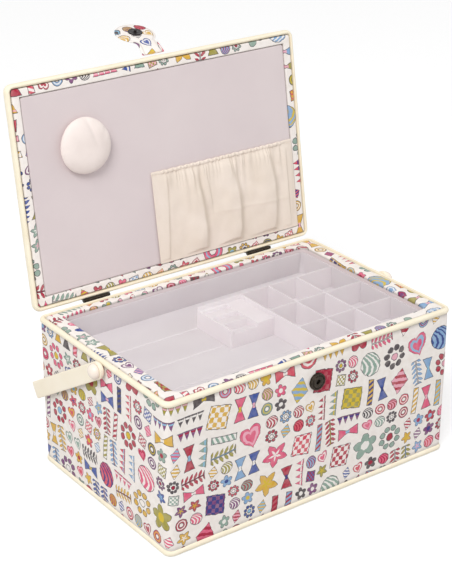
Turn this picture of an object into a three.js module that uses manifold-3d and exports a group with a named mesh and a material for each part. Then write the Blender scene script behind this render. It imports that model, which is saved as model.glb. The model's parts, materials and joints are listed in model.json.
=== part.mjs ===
// Fabric-covered sewing box with a hinged lid, a carrying bail and a lift-out tray.
// Millimetres, +Z up, +Y towards the hinges. The origin is the centre of the underside.
// The box stands open: the lid leans back and the bail is folded down behind the case.
import * as THREE from 'three';
import { mergeVertices } from 'three/addons/utils/BufferGeometryUtils.js';
import Module from 'manifold-3d';

const wasm = await Module();
wasm.setup();

// Driving sizes of the case, measured over the piping
const boxWidth = 370;
const boxDepth = 243.6;
const boxHeight = 174;
const boxCornerRadius = 8;
const sideRimWidth = 23;
const frontRimWidth = 17.1;
const openingCornerRadius = 9;

// Driving sizes of the lid, the handle and the tray
const lidSideOverhang = 0;
const lidFrontOverhang = 0;
const lidBehindBox = 0;
const lidCornerRadius = 8.5;
const lidInnerRadius = 3;
const lidLean = 98.9;
const handleStandOff = 10.86;
const handleDroop = 31.1;
const trayTopBelowRim = 7;
const trayDepth = 26.5;

// Clearances
const seatGap = 0.3;
const pinGap = 0.3;
const lidSeatGap = 0.6;
const traySideGap = 0.5;
const cutOverrun = 5;

// Piping round the case
const pipingProud = 1.4;
const topPipingWidth = 6;
const topPipingHeight = 6.5;
const bottomPipingWidth = 6;
const bottomPipingHeight = 6.5;
const bottomPipingLift = 0.15;

// Skins and boards
const coverThickness = 1.2;
const liningThickness = 0.8;
const undersideThickness = 1.2;
const baseBoardThickness = 5;
const floorLiningThickness = 1.5;
const sideBoardThickness = 9;
const rimSkin = 2.2;
const rimCrown = 0.7;

// Ledges that carry the tray
const ledgeThickness = 6;

// Snap: a socket on the front of the case and a stud on the strap
const snapBelowRim = 32;
const socketRadius = 9.5;
const socketThickness = 3.2;
const socketEdge = 0.8;
const socketGrooveRadius = 7;
const socketGrooveDepth = 0.5;
const socketGrooveWidth = 0.9;
const socketHoleRadius = 3.1;
const socketHoleDepth = 2.9;
const snapRivetRadius = 1.5;
const snapWasherRadius = 6;
const snapWasherThickness = 1.5;
const studRadius = 8.2;
const studThickness = 1;
const studEdge = 0.4;
const studPostRadius = 2.4;
const studPostTipRadius = 1.7;
const studPostLength = 2.2;
const snapCapRadius = 7;
const snapCapHeight = 1.4;

// Handle
const handleStripWidth = 19;
const handleStripThickness = 4;
const handleStripEdge = 1.6;
const handleBendRadius = 12;
const handlePivotY = -5.5;
const handlePivotBelowRim = 10.3;
const spacerRadius = 7.5;
const spacerNeckRadius = 3.4;
const spacerThickness = 3;
const boltRadius = 2.5;
const boltHeadRadius = 5;
const boltHeadHeight = 2;
const capRadius = 8.1;
const capHeight = 7.4;
const capSkirt = 1;
const nutRadius = 5.5;
const nutThickness = 4;
const nutSides = 6;
const gripDimpleRadius = 1.4;
const gripDimpleDepth = 1.2;
const gripDimpleFromPivot = 15;

// Hinges
const hingeFromSide = 75;
const hingeWidth = 30;
const hingeAxisBehindBox = 1;
const hingeAxisAboveRim = 0.5;
const barrelRadius = 2.2;
const hingePinRadius = 1;
const leafThickness = 1.2;
const caseLeafHeight = 23;
const lidLeafHeight = 8.5;
const knuckleGap = 0.4;

// Lid
const lidPipingWidth = 5.2;
const lidPipingHeight = 9.5;
const lidBoardThickness = 4;
const lidBandWidth = 9.3;
const lidBandThickness = 2.6;
const lidLiningThickness = 1;
const lidCoverEdge = 2;
const lidCoverCrown = 4.6;

// Pincushion and pocket inside the lid
const pincushionRadius = 31.25;
const pincushionHeight = 15.5;
const pincushionFromFront = 77.5;
const pincushionFromSide = 83.7;
const pincushionTuck = 25;
const pocketWidth = 193.2;
const pocketHeight = 103.9;
const pocketEdge = 1.5;
const pocketSwell = 5.8;
const elasticHeight = 4.5;
const elasticThickness = 2.4;
const elasticRuffle = 0.7;

// Strap
const strapThickness = 3;
const strapNeckWidth = 25;
const strapNeckFlare = 28;
const strapNeckLength = 14;
const strapHeadRadius = 22.5;
const strapHeadReach = 26;
const strapRestNeck = 132;
const strapRestHead = 28;

// Tray
const trayWall = 1.5;
const trayFloor = 1.6;
const trayTaper = 2;
const trayCornerRadius = 8;
const cellCornerRadius = 3;
const cellTaper = 0.8;
const ridgeHeight = 8;
const rackGrooveDepth = 13;
const rackRidgeBelowTop = 5;
const rackSkin = 1.9;

// Shares, each of the size that it follows: crowns as [across, rise], the tray and the pocket
const rimCrownShares = [[0, 0], [0.2, 0.75], [0.5, 1], [0.8, 0.75], [1, 0]];
const lidCrownShares = [[0.02, 0.3], [0.06, 0.6], [0.14, 0.85], [0.28, 1]];
const bandEdgeShare = 0.25;
const trayColumnShares = [-0.18, 0.006, 0.192, 0.427, 0.675];
const rackPlateauShare = 0.16;
const rackSlopeShare = 0.35;
const pleatShares = [0, 0.09, 0.27, 0.53, 0.79, 0.95, 1];
const pleatFloorShare = 0.4;
const pleatFadeShare = 0.93;
const pleatFullnessShare = 0.7;
const pocketSagShare = 0.8;
const pocketFullnessShare = 0.6;

// Counts
const trayRows = 4;
const rackRows = 3;
const rackGrooves = 5;
const cornerSteps = 6;
const cellCornerSteps = 2;
const roundSteps = 28;
const smallRoundSteps = 20;
const beadSteps = 12;
const bendSteps = 6;
const capSteps = 6;
const pincushionSteps = 12;
const pocketColumns = 40;
const pocketRows = 11;
const elasticGathers = 24;
const stepsPerGather = 2;

const radians = THREE.MathUtils.degToRad;

// Finishes
const finish = (color, roughness, metalness = 0) =>
  new THREE.MeshStandardMaterial({ color, roughness, metalness });
const printedFabric = finish(0xf1ece6, 0.85);
const creamPiping = finish(0xfaeecd, 0.7);
const satin = finish(0xdcd2d2, 0.45);
const board = finish(0xb59a72, 0.9);
const undersideFabric = finish(0xe6dfd2, 0.9);
const pocketCloth = finish(0xf0e5d6, 0.8);
const pincushionCloth = finish(0xf3eae6, 0.75);
const creamPlastic = finish(0xf7ebd3, 0.4);
const trayPlastic = finish(0xe9e6ec, 0.3);
const darkBronze = finish(0x3b352c, 0.4, 0.9);
const blackMetal = finish(0x1a1012, 0.35, 0.6);
const steel = finish(0xb8b8b8, 0.35, 1);

// A closed outline of a rounded rectangle at height z, as a list of points
function outline(halfX, halfY, radius, z, steps = cornerSteps) {
  const points = [];
  const corners = [[1, 1], [-1, 1], [-1, -1], [1, -1]];
  corners.forEach(([signX, signY], corner) => {
    for (let step = 0; step <= steps; step += 1) {
      const angle = (corner + step / steps) * Math.PI / 2;
      const x = signX * (halfX - radius) + radius * Math.cos(angle);
      const y = signY * (halfY - radius) + radius * Math.sin(angle);
      points.push(new THREE.Vector3(x, y, z));
    }
  });
  return points;
}

// Shifts every point of a ring
const shifted = (ring, x, y, z) => ring.map((point) => point.clone().add(new THREE.Vector3(x, y, z)));

// A ring between two rings, at share t, raised to height z
const between = (ringA, ringB, t, z) =>
  ringA.map((point, index) => point.clone().lerp(ringB[index], t).setZ(z));

// Signed volume of an indexed geometry: positive when its faces point outwards
function signedVolume(positions, indices) {
  const corner = (index) => new THREE.Vector3().fromArray(positions, 3 * index);
  let volume = 0;
  for (let face = 0; face < indices.length; face += 3) {
    const a = corner(indices[face]);
    const b = corner(indices[face + 1]);
    const c = corner(indices[face + 2]);
    volume += a.dot(b.cross(c)) / 6;
  }
  return volume;
}

// Skins a list of rings. A closed loft joins its last ring to its first, an open one is capped.
function loft(rings, closed = false) {
  const count = rings[0].length;
  const positions = rings.flat().flatMap((point) => point.toArray());
  const indices = [];
  const bands = closed ? rings.length : rings.length - 1;
  for (let band = 0; band < bands; band += 1) {
    const next = (band + 1) % rings.length;
    for (let index = 0; index < count; index += 1) {
      const following = (index + 1) % count;
      const a = band * count + index;
      const b = band * count + following;
      const c = next * count + following;
      const d = next * count + index;
      indices.push(a, b, c, a, c, d);
    }
  }
  if (!closed) {
    const caps = [[0, true], [rings.length - 1, false]];
    caps.forEach(([ringIndex, reversed]) => {
      const centre = new THREE.Vector3();
      rings[ringIndex].forEach((point) => centre.addScaledVector(point, 1 / count));
      const hub = positions.length / 3;
      positions.push(...centre.toArray());
      for (let index = 0; index < count; index += 1) {
        const a = ringIndex * count + index;
        const b = ringIndex * count + (index + 1) % count;
        indices.push(...(reversed ? [hub, b, a] : [hub, a, b]));
      }
    });
  }
  if (signedVolume(positions, indices) < 0) {
    indices.reverse();
  }
  const geometry = new THREE.BufferGeometry();
  geometry.setAttribute('position', new THREE.Float32BufferAttribute(positions, 3));
  geometry.setIndex(indices);
  return geometry;
}

// The bare mesh of a geometry: shared points merged, empty faces dropped, faces pointing outwards
function bareMesh(geometry) {
  const bare = geometry.clone();
  bare.deleteAttribute('normal');
  bare.deleteAttribute('uv');
  const merged = mergeVertices(bare);
  const source = merged.index.array;
  const indices = [];
  for (let face = 0; face < source.length; face += 3) {
    const [a, b, c] = source.slice(face, face + 3);
    if (a !== b && b !== c && c !== a) {
      indices.push(a, b, c);
    }
  }
  if (signedVolume(merged.attributes.position.array, indices) < 0) {
    indices.reverse();
  }
  return merged.setIndex(indices);
}

// Joins and cuts on closed meshes
function solidOf(geometry) {
  const bare = bareMesh(geometry);
  return new wasm.Manifold(new wasm.Mesh({
    numProp: 3,
    vertProperties: new Float32Array(bare.attributes.position.array),
    triVerts: new Uint32Array(bare.index.array),
  }));
}

function geometryOf(solid) {
  const mesh = solid.getMesh();
  const geometry = new THREE.BufferGeometry();
  geometry.setAttribute('position', new THREE.BufferAttribute(mesh.vertProperties, 3));
  geometry.setIndex(new THREE.BufferAttribute(mesh.triVerts, 1));
  return geometry;
}

const join = (first, ...others) =>
  geometryOf(others.reduce((whole, other) => whole.add(solidOf(other)), solidOf(first)));
const cut = (body, ...tools) =>
  geometryOf(tools.reduce((rest, tool) => rest.subtract(solidOf(tool)), solidOf(body)));
const common = (body, other) => geometryOf(solidOf(body).intersect(solidOf(other)));

// A box between two corners
function block(low, high) {
  const size = high.map((value, axis) => value - low[axis]);
  const geometry = new THREE.BoxGeometry(...size);
  return geometry.translate(...low.map((value, axis) => value + size[axis] / 2));
}

// A round rod along X or Y, from one place on that axis to another
function rod(axis, radius, from, to, across, up, steps = smallRoundSteps) {
  const geometry = new THREE.CylinderGeometry(radius, radius, Math.abs(to - from), steps);
  const middle = (from + to) / 2;
  if (axis === 'x') {
    return geometry.rotateZ(Math.PI / 2).translate(middle, across, up);
  }
  return geometry.translate(across, middle, up);
}

// A turned piece about the Y axis: its profile is [radius, distance along the axis]
function turned(profile, steps = roundSteps) {
  const points = profile.map(([radius, along]) => new THREE.Vector2(radius, along));
  return bareMesh(new THREE.LatheGeometry(points, steps));
}

// A bead that follows a rounded rectangle: an ellipse of the given width and height
function bead(halfX, halfY, radius, width, height, middleZ) {
  const rings = [];
  for (let step = 0; step < beadSteps; step += 1) {
    const angle = step / beadSteps * 2 * Math.PI;
    const inset = width / 2 * (1 - Math.cos(angle));
    const z = middleZ + height / 2 * Math.sin(angle);
    rings.push(outline(halfX - inset, halfY - inset, radius - inset, z));
  }
  return loft(rings, true);
}

// A thin upright skin round a rounded rectangle, inwards from its outer outline
function upright(halfX, halfY, radius, thickness, low, high) {
  const inner = [halfX - thickness, halfY - thickness, radius - thickness];
  return loft([
    outline(halfX, halfY, radius, low),
    outline(halfX, halfY, radius, high),
    outline(...inner, high),
    outline(...inner, low),
  ], true);
}

// A flat plate with rounded corners
const plate = (halfX, halfY, radius, low, high) =>
  loft([outline(halfX, halfY, radius, low), outline(halfX, halfY, radius, high)]);

function add(parent, name, geometry, material) {
  geometry.deleteAttribute('uv');
  geometry.computeVertexNormals();
  const mesh = new THREE.Mesh(geometry, material);
  mesh.name = name;
  parent.add(mesh);
  return mesh;
}

// Places worked out from the driving sizes
const coverHalfX = boxWidth / 2 - pipingProud;
const coverHalfY = boxDepth / 2 - pipingProud;
const boardHalfX = coverHalfX - coverThickness - seatGap;
const boardHalfY = coverHalfY - coverThickness - seatGap;
const boardRadius = boxCornerRadius - coverThickness - seatGap;
const openingHalfX = boxWidth / 2 - sideRimWidth;
const openingHalfY = boxDepth / 2 - frontRimWidth;
const boardInnerX = openingHalfX + liningThickness + seatGap;
const boardInnerY = openingHalfY + liningThickness + seatGap;
const bottomPipingTop = bottomPipingLift + bottomPipingHeight;
const topPipingBottom = boxHeight - topPipingHeight;
const baseBoardLow = undersideThickness + seatGap;
const baseBoardHigh = baseBoardLow + baseBoardThickness;
const wallLow = Math.max(baseBoardHigh, bottomPipingTop) + seatGap;
const floorHigh = baseBoardHigh + seatGap + floorLiningThickness;
const rimHigh = boxHeight - seatGap;
const wallHigh = rimHigh - rimCrown - rimSkin - seatGap;
const trayTop = boxHeight - trayTopBelowRim;
const trayLow = trayTop - trayDepth;
const snapZ = boxHeight - snapBelowRim;
const handlePivotZ = boxHeight - handlePivotBelowRim;
const handleReach = (boxDepth / 2 - handlePivotY + handleStandOff) / Math.cos(radians(handleDroop));
const hingeY = boxDepth / 2 + hingeAxisBehindBox;
const hingeZ = boxHeight + hingeAxisAboveRim;
const wallOutline = (inset, z) => outline(boardHalfX - inset, boardHalfY - inset, boardRadius - inset, z);

// The hole of the handle bolt through everything on its axis
const boltHole = (side) => rod(
  'x', boltRadius + pinGap, 0, side * boxWidth, handlePivotY, handlePivotZ,
);

function buildCaseBoards(group) {
  const insetAtTop = topPipingWidth - (boxWidth / 2 - boardHalfX) + seatGap;
  const shelf = topPipingBottom - seatGap;
  const blockOut = join(
    loft([wallOutline(0, wallLow), wallOutline(0, shelf)]),
    loft([wallOutline(insetAtTop, wallLow), wallOutline(insetAtTop, wallHigh)]),
  );
  const wide = boxWidth;
  const endY = boardInnerY - seatGap;
  const farY = boxDepth;
  const snapRivet = rod('y', snapRivetRadius + pinGap, 0, -boxDepth, 0, snapZ);
  const washerRecess = rod(
    'y', snapWasherRadius + pinGap, -boardInnerY - snapWasherThickness - seatGap, 0, 0, snapZ,
  );
  const front = common(blockOut, block([-wide, -farY, 0], [wide, -boardInnerY, boxHeight]));
  const back = common(blockOut, block([-wide, boardInnerY, 0], [wide, farY, boxHeight]));
  add(group, 'front_board', cut(front, snapRivet, washerRecess), board);
  add(group, 'back_board', back, board);
  const splitX = boardHalfX - sideBoardThickness;
  [['left', -1], ['right', 1]].forEach(([side, sign]) => {
    const outerSpan = [sign * splitX, sign * wide];
    const innerSpan = [sign * boardInnerX, sign * (splitX - seatGap)];
    const slab = ([from, to]) => common(blockOut, block(
      [Math.min(from, to), -endY, 0], [Math.max(from, to), endY, boxHeight],
    ));
    const nutPocket = rod(
      'x', nutRadius + pinGap, sign * (splitX - nutThickness - 2 * seatGap), sign * splitX,
      handlePivotY, handlePivotZ,
    );
    add(group, `${side}_board`, cut(slab(outerSpan), boltHole(sign)), board);
    add(group, `${side}_inner_board`, cut(slab(innerSpan), nutPocket), board);
  });
  const baseInset = bottomPipingWidth - pipingProud - coverThickness;
  const base = [boardHalfX - baseInset, boardHalfY - baseInset, boardRadius - baseInset];
  add(group, 'base_board', plate(...base, baseBoardLow, baseBoardHigh), board);
  add(group, 'underside_cover', plate(...base, 0, undersideThickness), undersideFabric);
}

function buildCaseCovers(group) {
  const cover = upright(
    coverHalfX, coverHalfY, boxCornerRadius, coverThickness,
    bottomPipingTop + seatGap, topPipingBottom - seatGap,
  );
  const frontHole = rod('y', snapRivetRadius + pinGap, 0, -boxDepth, 0, snapZ);
  add(group, 'outer_cover', cut(cover, frontHole, boltHole(-1), boltHole(1)), printedFabric);
  const pipingAt = [boxWidth / 2, boxDepth / 2, boxCornerRadius + pipingProud];
  add(group, 'top_piping', bead(
    ...pipingAt, topPipingWidth, topPipingHeight, boxHeight - topPipingHeight / 2,
  ), creamPiping);
  add(group, 'bottom_piping', bead(
    ...pipingAt, bottomPipingWidth, bottomPipingHeight, bottomPipingLift + bottomPipingHeight / 2,
  ), creamPiping);

  // The padded rim lies on the boards between the piping and the opening, with a low crown
  const rimOuterX = boxWidth / 2 - topPipingWidth - seatGap;
  const rimOuterY = boxDepth / 2 - topPipingWidth - seatGap;
  const rimOuterRadius = boxCornerRadius + pipingProud - topPipingWidth - seatGap;
  const outer = outline(rimOuterX, rimOuterY, rimOuterRadius, 0);
  const inner = outline(openingHalfX, openingHalfY, openingCornerRadius, 0);
  const underside = wallHigh + seatGap;
  const lip = rimHigh - rimCrown;
  const crown = rimCrownShares.map(([across, rise]) =>
    between(inner, outer, across, lip + rimCrown * rise));
  const rim = loft([
    between(inner, outer, 0, underside),
    ...crown,
    between(inner, outer, 1, underside),
  ], true);
  add(group, 'rim_cover', rim, printedFabric);
  add(group, 'wall_lining', upright(
    openingHalfX + liningThickness, openingHalfY + liningThickness, openingCornerRadius + liningThickness,
    liningThickness, floorHigh + seatGap, wallHigh,
  ), satin);
  add(group, 'floor_lining', plate(
    openingHalfX - seatGap, openingHalfY - seatGap, openingCornerRadius - seatGap,
    baseBoardHigh + seatGap, floorHigh,
  ), satin);
  [['left', -1], ['right', 1]].forEach(([side, sign]) => {
    const near = sign * (openingHalfX - seatGap);
    const far = sign * (openingHalfX - seatGap - ledgeThickness);
    const reach = openingHalfY - openingCornerRadius - seatGap;
    add(group, `${side}_tray_ledge`, block(
      [Math.min(near, far), -reach, floorHigh + seatGap],
      [Math.max(near, far), reach, trayLow - seatGap],
    ), satin);
  });
}

function buildSnapSocket(group) {
  const face = -coverHalfY - seatGap;
  const rivetEnd = -boardInnerY - seatGap;
  const holeFloor = socketThickness - socketHoleDepth;
  const groove = socketThickness - socketGrooveDepth;
  const profile = [
    [0, holeFloor],
    [socketHoleRadius - socketEdge / 2, holeFloor],
    [socketHoleRadius - socketEdge / 2, socketThickness - socketEdge / 2],
    [socketHoleRadius, socketThickness],
    [socketGrooveRadius - socketGrooveWidth / 2, socketThickness],
    [socketGrooveRadius, groove],
    [socketGrooveRadius + socketGrooveWidth / 2, socketThickness],
    [socketRadius - socketEdge, socketThickness],
    [socketRadius, socketThickness - socketEdge],
    [socketRadius, 0],
    [snapRivetRadius, 0],
    [snapRivetRadius, face - rivetEnd],
    [0, face - rivetEnd],
  ];
  const socket = turned(profile).rotateX(Math.PI).translate(0, face, snapZ);
  add(group, 'snap_socket', socket, darkBronze);
  const washerBack = -boardInnerY - snapWasherThickness;
  const washer = cut(
    rod('y', snapWasherRadius, washerBack, -boardInnerY, 0, snapZ),
    rod('y', snapRivetRadius + pinGap, -boxDepth, 0, 0, snapZ),
  );
  add(group, 'snap_socket_washer', washer, steel);
}

// Handle: places along the pivot axis, counted outwards from the cover
const armInner = coverHalfX + spacerThickness + 2 * seatGap;
const armOuter = armInner + handleStripThickness;
const capSeat = armOuter + seatGap;
const nutFace = boardHalfX - sideBoardThickness - seatGap;
const onPivot = (geometry, sign, x) =>
  geometry.rotateZ(-sign * Math.PI / 2).translate(sign * x, handlePivotY, handlePivotZ);

function buildHandlePivots(group) {
  [['left', -1], ['right', 1]].forEach(([side, sign]) => {
    const shaftEnd = nutFace - nutThickness - capSeat;
    const bolt = turned([
      [0, boltHeadHeight],
      [boltHeadRadius - boltHeadHeight / 2, boltHeadHeight],
      [boltHeadRadius, boltHeadHeight / 2],
      [boltHeadRadius, 0],
      [boltRadius, 0],
      [boltRadius, shaftEnd],
      [0, shaftEnd],
    ], smallRoundSteps);
    add(group, `${side}_pivot_bolt`, onPivot(bolt, sign, capSeat), steel);
    const bore = boltRadius + pinGap;
    const neckLength = pipingProud + seatGap;
    const spacer = turned([
      [bore, 0], [spacerNeckRadius, 0], [spacerNeckRadius, neckLength], [spacerRadius, neckLength],
      [spacerRadius, spacerThickness], [bore, spacerThickness], [bore, 0],
    ], smallRoundSteps);
    add(group, `${side}_pivot_spacer`, onPivot(spacer, sign, coverHalfX + seatGap), creamPlastic);
    const nutLow = nutFace - nutThickness;
    const hexagon = rod('x', nutRadius, sign * nutLow, sign * nutFace, handlePivotY, handlePivotZ, nutSides);
    add(group, `${side}_pivot_nut`, cut(hexagon, boltHole(sign)), steel);

    // The cap is a dome on a short skirt, hollow over the head of the bolt
    const recess = boltHeadHeight + seatGap;
    const dome = [];
    for (let step = 0; step <= capSteps; step += 1) {
      const angle = step / capSteps * Math.PI / 2;
      dome.push([capRadius * Math.cos(angle), capSkirt + (capHeight - capSkirt) * Math.sin(angle)]);
    }
    dome[capSteps][0] = 0;
    const cap = turned([
      [0, recess], [boltHeadRadius + pinGap, recess], [boltHeadRadius + pinGap, 0], [capRadius, 0], ...dome,
    ], smallRoundSteps);
    add(group, `${side}_handle_cap`, onPivot(cap, sign, capSeat), creamPlastic);
  });
}

// The bail is a flat strip bent into a U. It is made level, then drooped about its pivots.
function buildHandle(group) {
  const armX = (armInner + armOuter) / 2;
  const crossY = handleReach - handleStripThickness / 2;
  const path = [[-armX, 0, -1, 0]];
  [[-1, Math.PI], [1, Math.PI / 2]].forEach(([sign, startAngle]) => {
    for (let step = 0; step <= bendSteps; step += 1) {
      const angle = startAngle - step / bendSteps * Math.PI / 2;
      const [outX, outY] = [Math.cos(angle), Math.sin(angle)];
      const centreX = sign * (armX - handleBendRadius);
      path.push([
        centreX + handleBendRadius * outX, crossY - handleBendRadius + handleBendRadius * outY, outX, outY,
      ]);
    }
  });
  path.push([armX, 0, 1, 0]);
  const halfThick = handleStripThickness / 2;
  const halfWide = handleStripWidth / 2;
  const edge = handleStripEdge;
  const section = [
    [halfThick, edge - halfWide], [halfThick, halfWide - edge], [halfThick - edge, halfWide],
    [edge - halfThick, halfWide], [-halfThick, halfWide - edge], [-halfThick, edge - halfWide],
    [edge - halfThick, -halfWide], [halfThick - edge, -halfWide],
  ];
  const rings = path.map(([x, y, outX, outY]) =>
    section.map(([out, wide]) => new THREE.Vector3(x + out * outX, y + out * outY, wide)));
  const strip = loft(rings);
  const ends = [-1, 1].map((sign) => rod('x', halfWide, sign * armInner, sign * armOuter, 0, 0, roundSteps));
  const dimples = [-1, 1].map((sign) => rod(
    'x', gripDimpleRadius, sign * (armOuter - gripDimpleDepth), sign * (armOuter + cutOverrun),
    gripDimpleFromPivot, 0, beadSteps,
  ));
  const bore = rod('x', boltRadius + pinGap, -boxWidth, boxWidth, 0, 0);
  const bail = cut(join(strip, ...ends), bore, ...dimples);
  const pivot = new THREE.Group();
  pivot.position.set(0, handlePivotY, handlePivotZ);
  pivot.rotation.x = -radians(handleDroop);
  group.add(pivot);
  add(pivot, 'handle_bail', bail, creamPlastic);
}

// Lid pieces are made where they lie when the lid is shut, in a group that turns about the hinge axis
const lidLow = boxHeight + lidSeatGap;
const lidWidth = boxWidth + 2 * lidSideOverhang;
const lidRear = boxDepth / 2 + lidBehindBox;
const lidFront = -boxDepth / 2 - lidFrontOverhang;
const lidDepth = lidRear - lidFront;
const lidMiddle = (lidRear + lidFront) / 2;
const lidBandHigh = lidLow + lidBandThickness;
const lidBoardHigh = lidBandHigh + seatGap + lidBoardThickness;
const lidInset = lidPipingWidth + seatGap;
const liningInset = lidInset + lidBandWidth + seatGap;
const liningLow = lidBandHigh - lidLiningThickness;
const lidOutline = (inset, z) => shifted(
  outline(lidWidth / 2 - inset, lidDepth / 2 - inset, Math.max(lidCornerRadius - inset, lidInnerRadius), z),
  0, lidMiddle, 0,
);
const onLid = (geometry) => geometry.translate(0, -hingeY, -hingeZ);

function buildLidPanel(lid) {
  const piping = bead(
    lidWidth / 2, lidDepth / 2, lidCornerRadius,
    lidPipingWidth, lidPipingHeight, lidLow + lidPipingHeight / 2,
  ).translate(0, lidMiddle, 0);
  add(lid, 'lid_piping', onLid(piping), creamPiping);
  const boardPlate = loft([
    lidOutline(lidInset, lidBandHigh + seatGap),
    lidOutline(lidInset, lidBoardHigh),
  ]);
  add(lid, 'lid_board', onLid(boardPlate), board);

  // The padded cover swells from the piping to a low crown
  const coverLow = lidBoardHigh + seatGap;
  const coverEdge = coverLow + lidCoverEdge;
  const cover = loft([
    lidOutline(lidInset, coverLow),
    lidOutline(lidInset, coverEdge),
    ...lidCrownShares.map(([across, rise]) =>
      lidOutline(lidInset + across * lidDepth, coverEdge + rise * lidCoverCrown)),
  ]);
  add(lid, 'lid_cover', onLid(cover), printedFabric);
  const bandLow = lidLow + seatGap;
  const bandEdge = lidBandWidth * bandEdgeShare;
  const band = loft([
    lidOutline(lidInset, lidBandHigh),
    lidOutline(lidInset, bandLow + bandEdge / 2),
    lidOutline(lidInset + bandEdge, bandLow),
    lidOutline(lidInset + lidBandWidth - bandEdge, bandLow),
    lidOutline(lidInset + lidBandWidth, bandLow + bandEdge / 2),
    lidOutline(lidInset + lidBandWidth, lidBandHigh),
  ], true);
  add(lid, 'lid_band', onLid(band), printedFabric);
  const lining = loft([lidOutline(liningInset, liningLow), lidOutline(liningInset, lidBandHigh)]);
  add(lid, 'lid_lining', onLid(lining), satin);
}

function buildPincushion(lid) {
  const profile = [[0, 0]];
  const tuckAngle = radians(pincushionTuck);
  const tuck = Math.sin(tuckAngle);
  for (let step = 0; step <= pincushionSteps; step += 1) {
    const angle = -tuckAngle + step / pincushionSteps * (Math.PI / 2 + tuckAngle);
    profile.push([
      pincushionRadius * Math.cos(angle),
      pincushionHeight * (Math.sin(angle) + tuck) / (1 + tuck),
    ]);
  }
  profile[profile.length - 1][0] = 0;
  const dome = turned(profile).rotateX(-Math.PI / 2);
  dome.translate(pincushionFromSide - lidWidth / 2, lidFront + pincushionFromFront, liningLow - seatGap);
  add(lid, 'pincushion', onLid(dome), pincushionCloth);
}

// A closed solid between two grids of points with the same rows and columns
function slab(front, back) {
  const rows = front.length;
  const columns = front[0].length;
  const positions = [...front.flat(), ...back.flat()].flatMap((point) => point.toArray());
  const half = rows * columns;
  const at = (row, column) => row * columns + column;
  const indices = [];
  const quad = (a, b, c, d) => indices.push(a, b, c, a, c, d);
  for (let row = 0; row + 1 < rows; row += 1) {
    for (let column = 0; column + 1 < columns; column += 1) {
      const [a, b] = [at(row, column), at(row, column + 1)];
      const [c, d] = [at(row + 1, column + 1), at(row + 1, column)];
      quad(a, b, c, d);
      quad(half + d, half + c, half + b, half + a);
    }
    [[0, false], [columns - 1, true]].forEach(([column, reversed]) => {
      const [a, d] = [at(row, column), at(row + 1, column)];
      quad(...(reversed ? [half + a, half + d, d, a] : [a, d, half + d, half + a]));
    });
  }
  for (let column = 0; column + 1 < columns; column += 1) {
    [[0, true], [rows - 1, false]].forEach(([row, reversed]) => {
      const [a, b] = [at(row, column), at(row, column + 1)];
      quad(...(reversed ? [half + a, half + b, b, a] : [a, b, half + b, half + a]));
    });
  }
  if (signedVolume(positions, indices) < 0) {
    indices.reverse();
  }
  const geometry = new THREE.BufferGeometry();
  geometry.setAttribute('position', new THREE.Float32BufferAttribute(positions, 3));
  return geometry.setIndex(indices);
}

// The gathered pocket: folds between its pleats, flat where it is sewn down
function buildPocket(lid) {
  const right = lidWidth / 2 - liningInset - seatGap;
  const left = right - pocketWidth;
  const bottom = lidRear - liningInset - seatGap;
  const top = bottom - pocketHeight;
  const backZ = liningLow - seatGap;
  const swellAt = (across, upward) => {
    const next = Math.max(1, pleatShares.findIndex((share) => share >= across));
    const span = pleatShares[next] - pleatShares[next - 1];
    const fold = Math.sin(Math.PI * (across - pleatShares[next - 1]) / span) ** pleatFullnessShare || 0;
    const fade = THREE.MathUtils.clamp((pleatFadeShare - across) / (1 - pleatFadeShare), 0, 1);
    const rise = Math.sin(Math.PI * upward ** pocketSagShare) ** pocketFullnessShare || 0;
    return pocketSwell * fade * rise * (pleatFloorShare + (1 - pleatFloorShare) * fold);
  };
  const front = [];
  const back = [];
  for (let row = 0; row <= pocketRows; row += 1) {
    const upward = row / pocketRows;
    const y = bottom + (top + elasticHeight - bottom) * upward;
    const line = Array.from({ length: pocketColumns + 1 }, (_, column) => column / pocketColumns);
    const xAt = (across) => left + pocketWidth * across;
    front.push(line.map((across) => new THREE.Vector3(
      xAt(across), y, backZ - pocketEdge - swellAt(across, upward),
    )));
    back.push(line.map((across) => new THREE.Vector3(xAt(across), y, backZ)));
  }
  add(lid, 'pocket', onLid(slab(front, back)), pocketCloth);

  // The casing of the elastic: a narrow strip with small even gathers
  const elasticSteps = elasticGathers * stepsPerGather;
  const strip = [top, top + elasticHeight - seatGap].map((y) =>
    Array.from({ length: elasticSteps + 1 }, (_, index) => {
      const x = left + pocketWidth * index / elasticSteps;
      return new THREE.Vector3(x, y, index % stepsPerGather === 0 ? elasticRuffle : 0);
    }));
  const elasticFront = strip.map((line) => line.map(({ x, y, z }) => {
    const thick = x > openingHalfX - elasticHeight ? pocketEdge : elasticThickness - z;
    return new THREE.Vector3(x, y, backZ - thick);
  }));
  const elasticBack = strip.map((line) => line.map(({ x, y }) => new THREE.Vector3(x, y, backZ)));
  add(lid, 'pocket_elastic', onLid(slab(elasticFront, elasticBack)), pocketCloth);
}

// The strap is made hanging straight down, in groups that turn at its two folds. When it is shut its
// neck slopes outwards, over the piping, to the plane in which its head lies on the snap.
const strapPlane = lidFront - seatGap - strapThickness / 2;
const strapHeadPlane = -coverHalfY - socketThickness - studThickness - 3 * seatGap - strapThickness / 2;
const strapShutSlope = Math.asin((strapPlane - strapHeadPlane) / strapNeckLength);
const strapRootZ = snapZ + strapNeckLength * Math.cos(strapShutSlope) + strapHeadReach;

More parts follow.
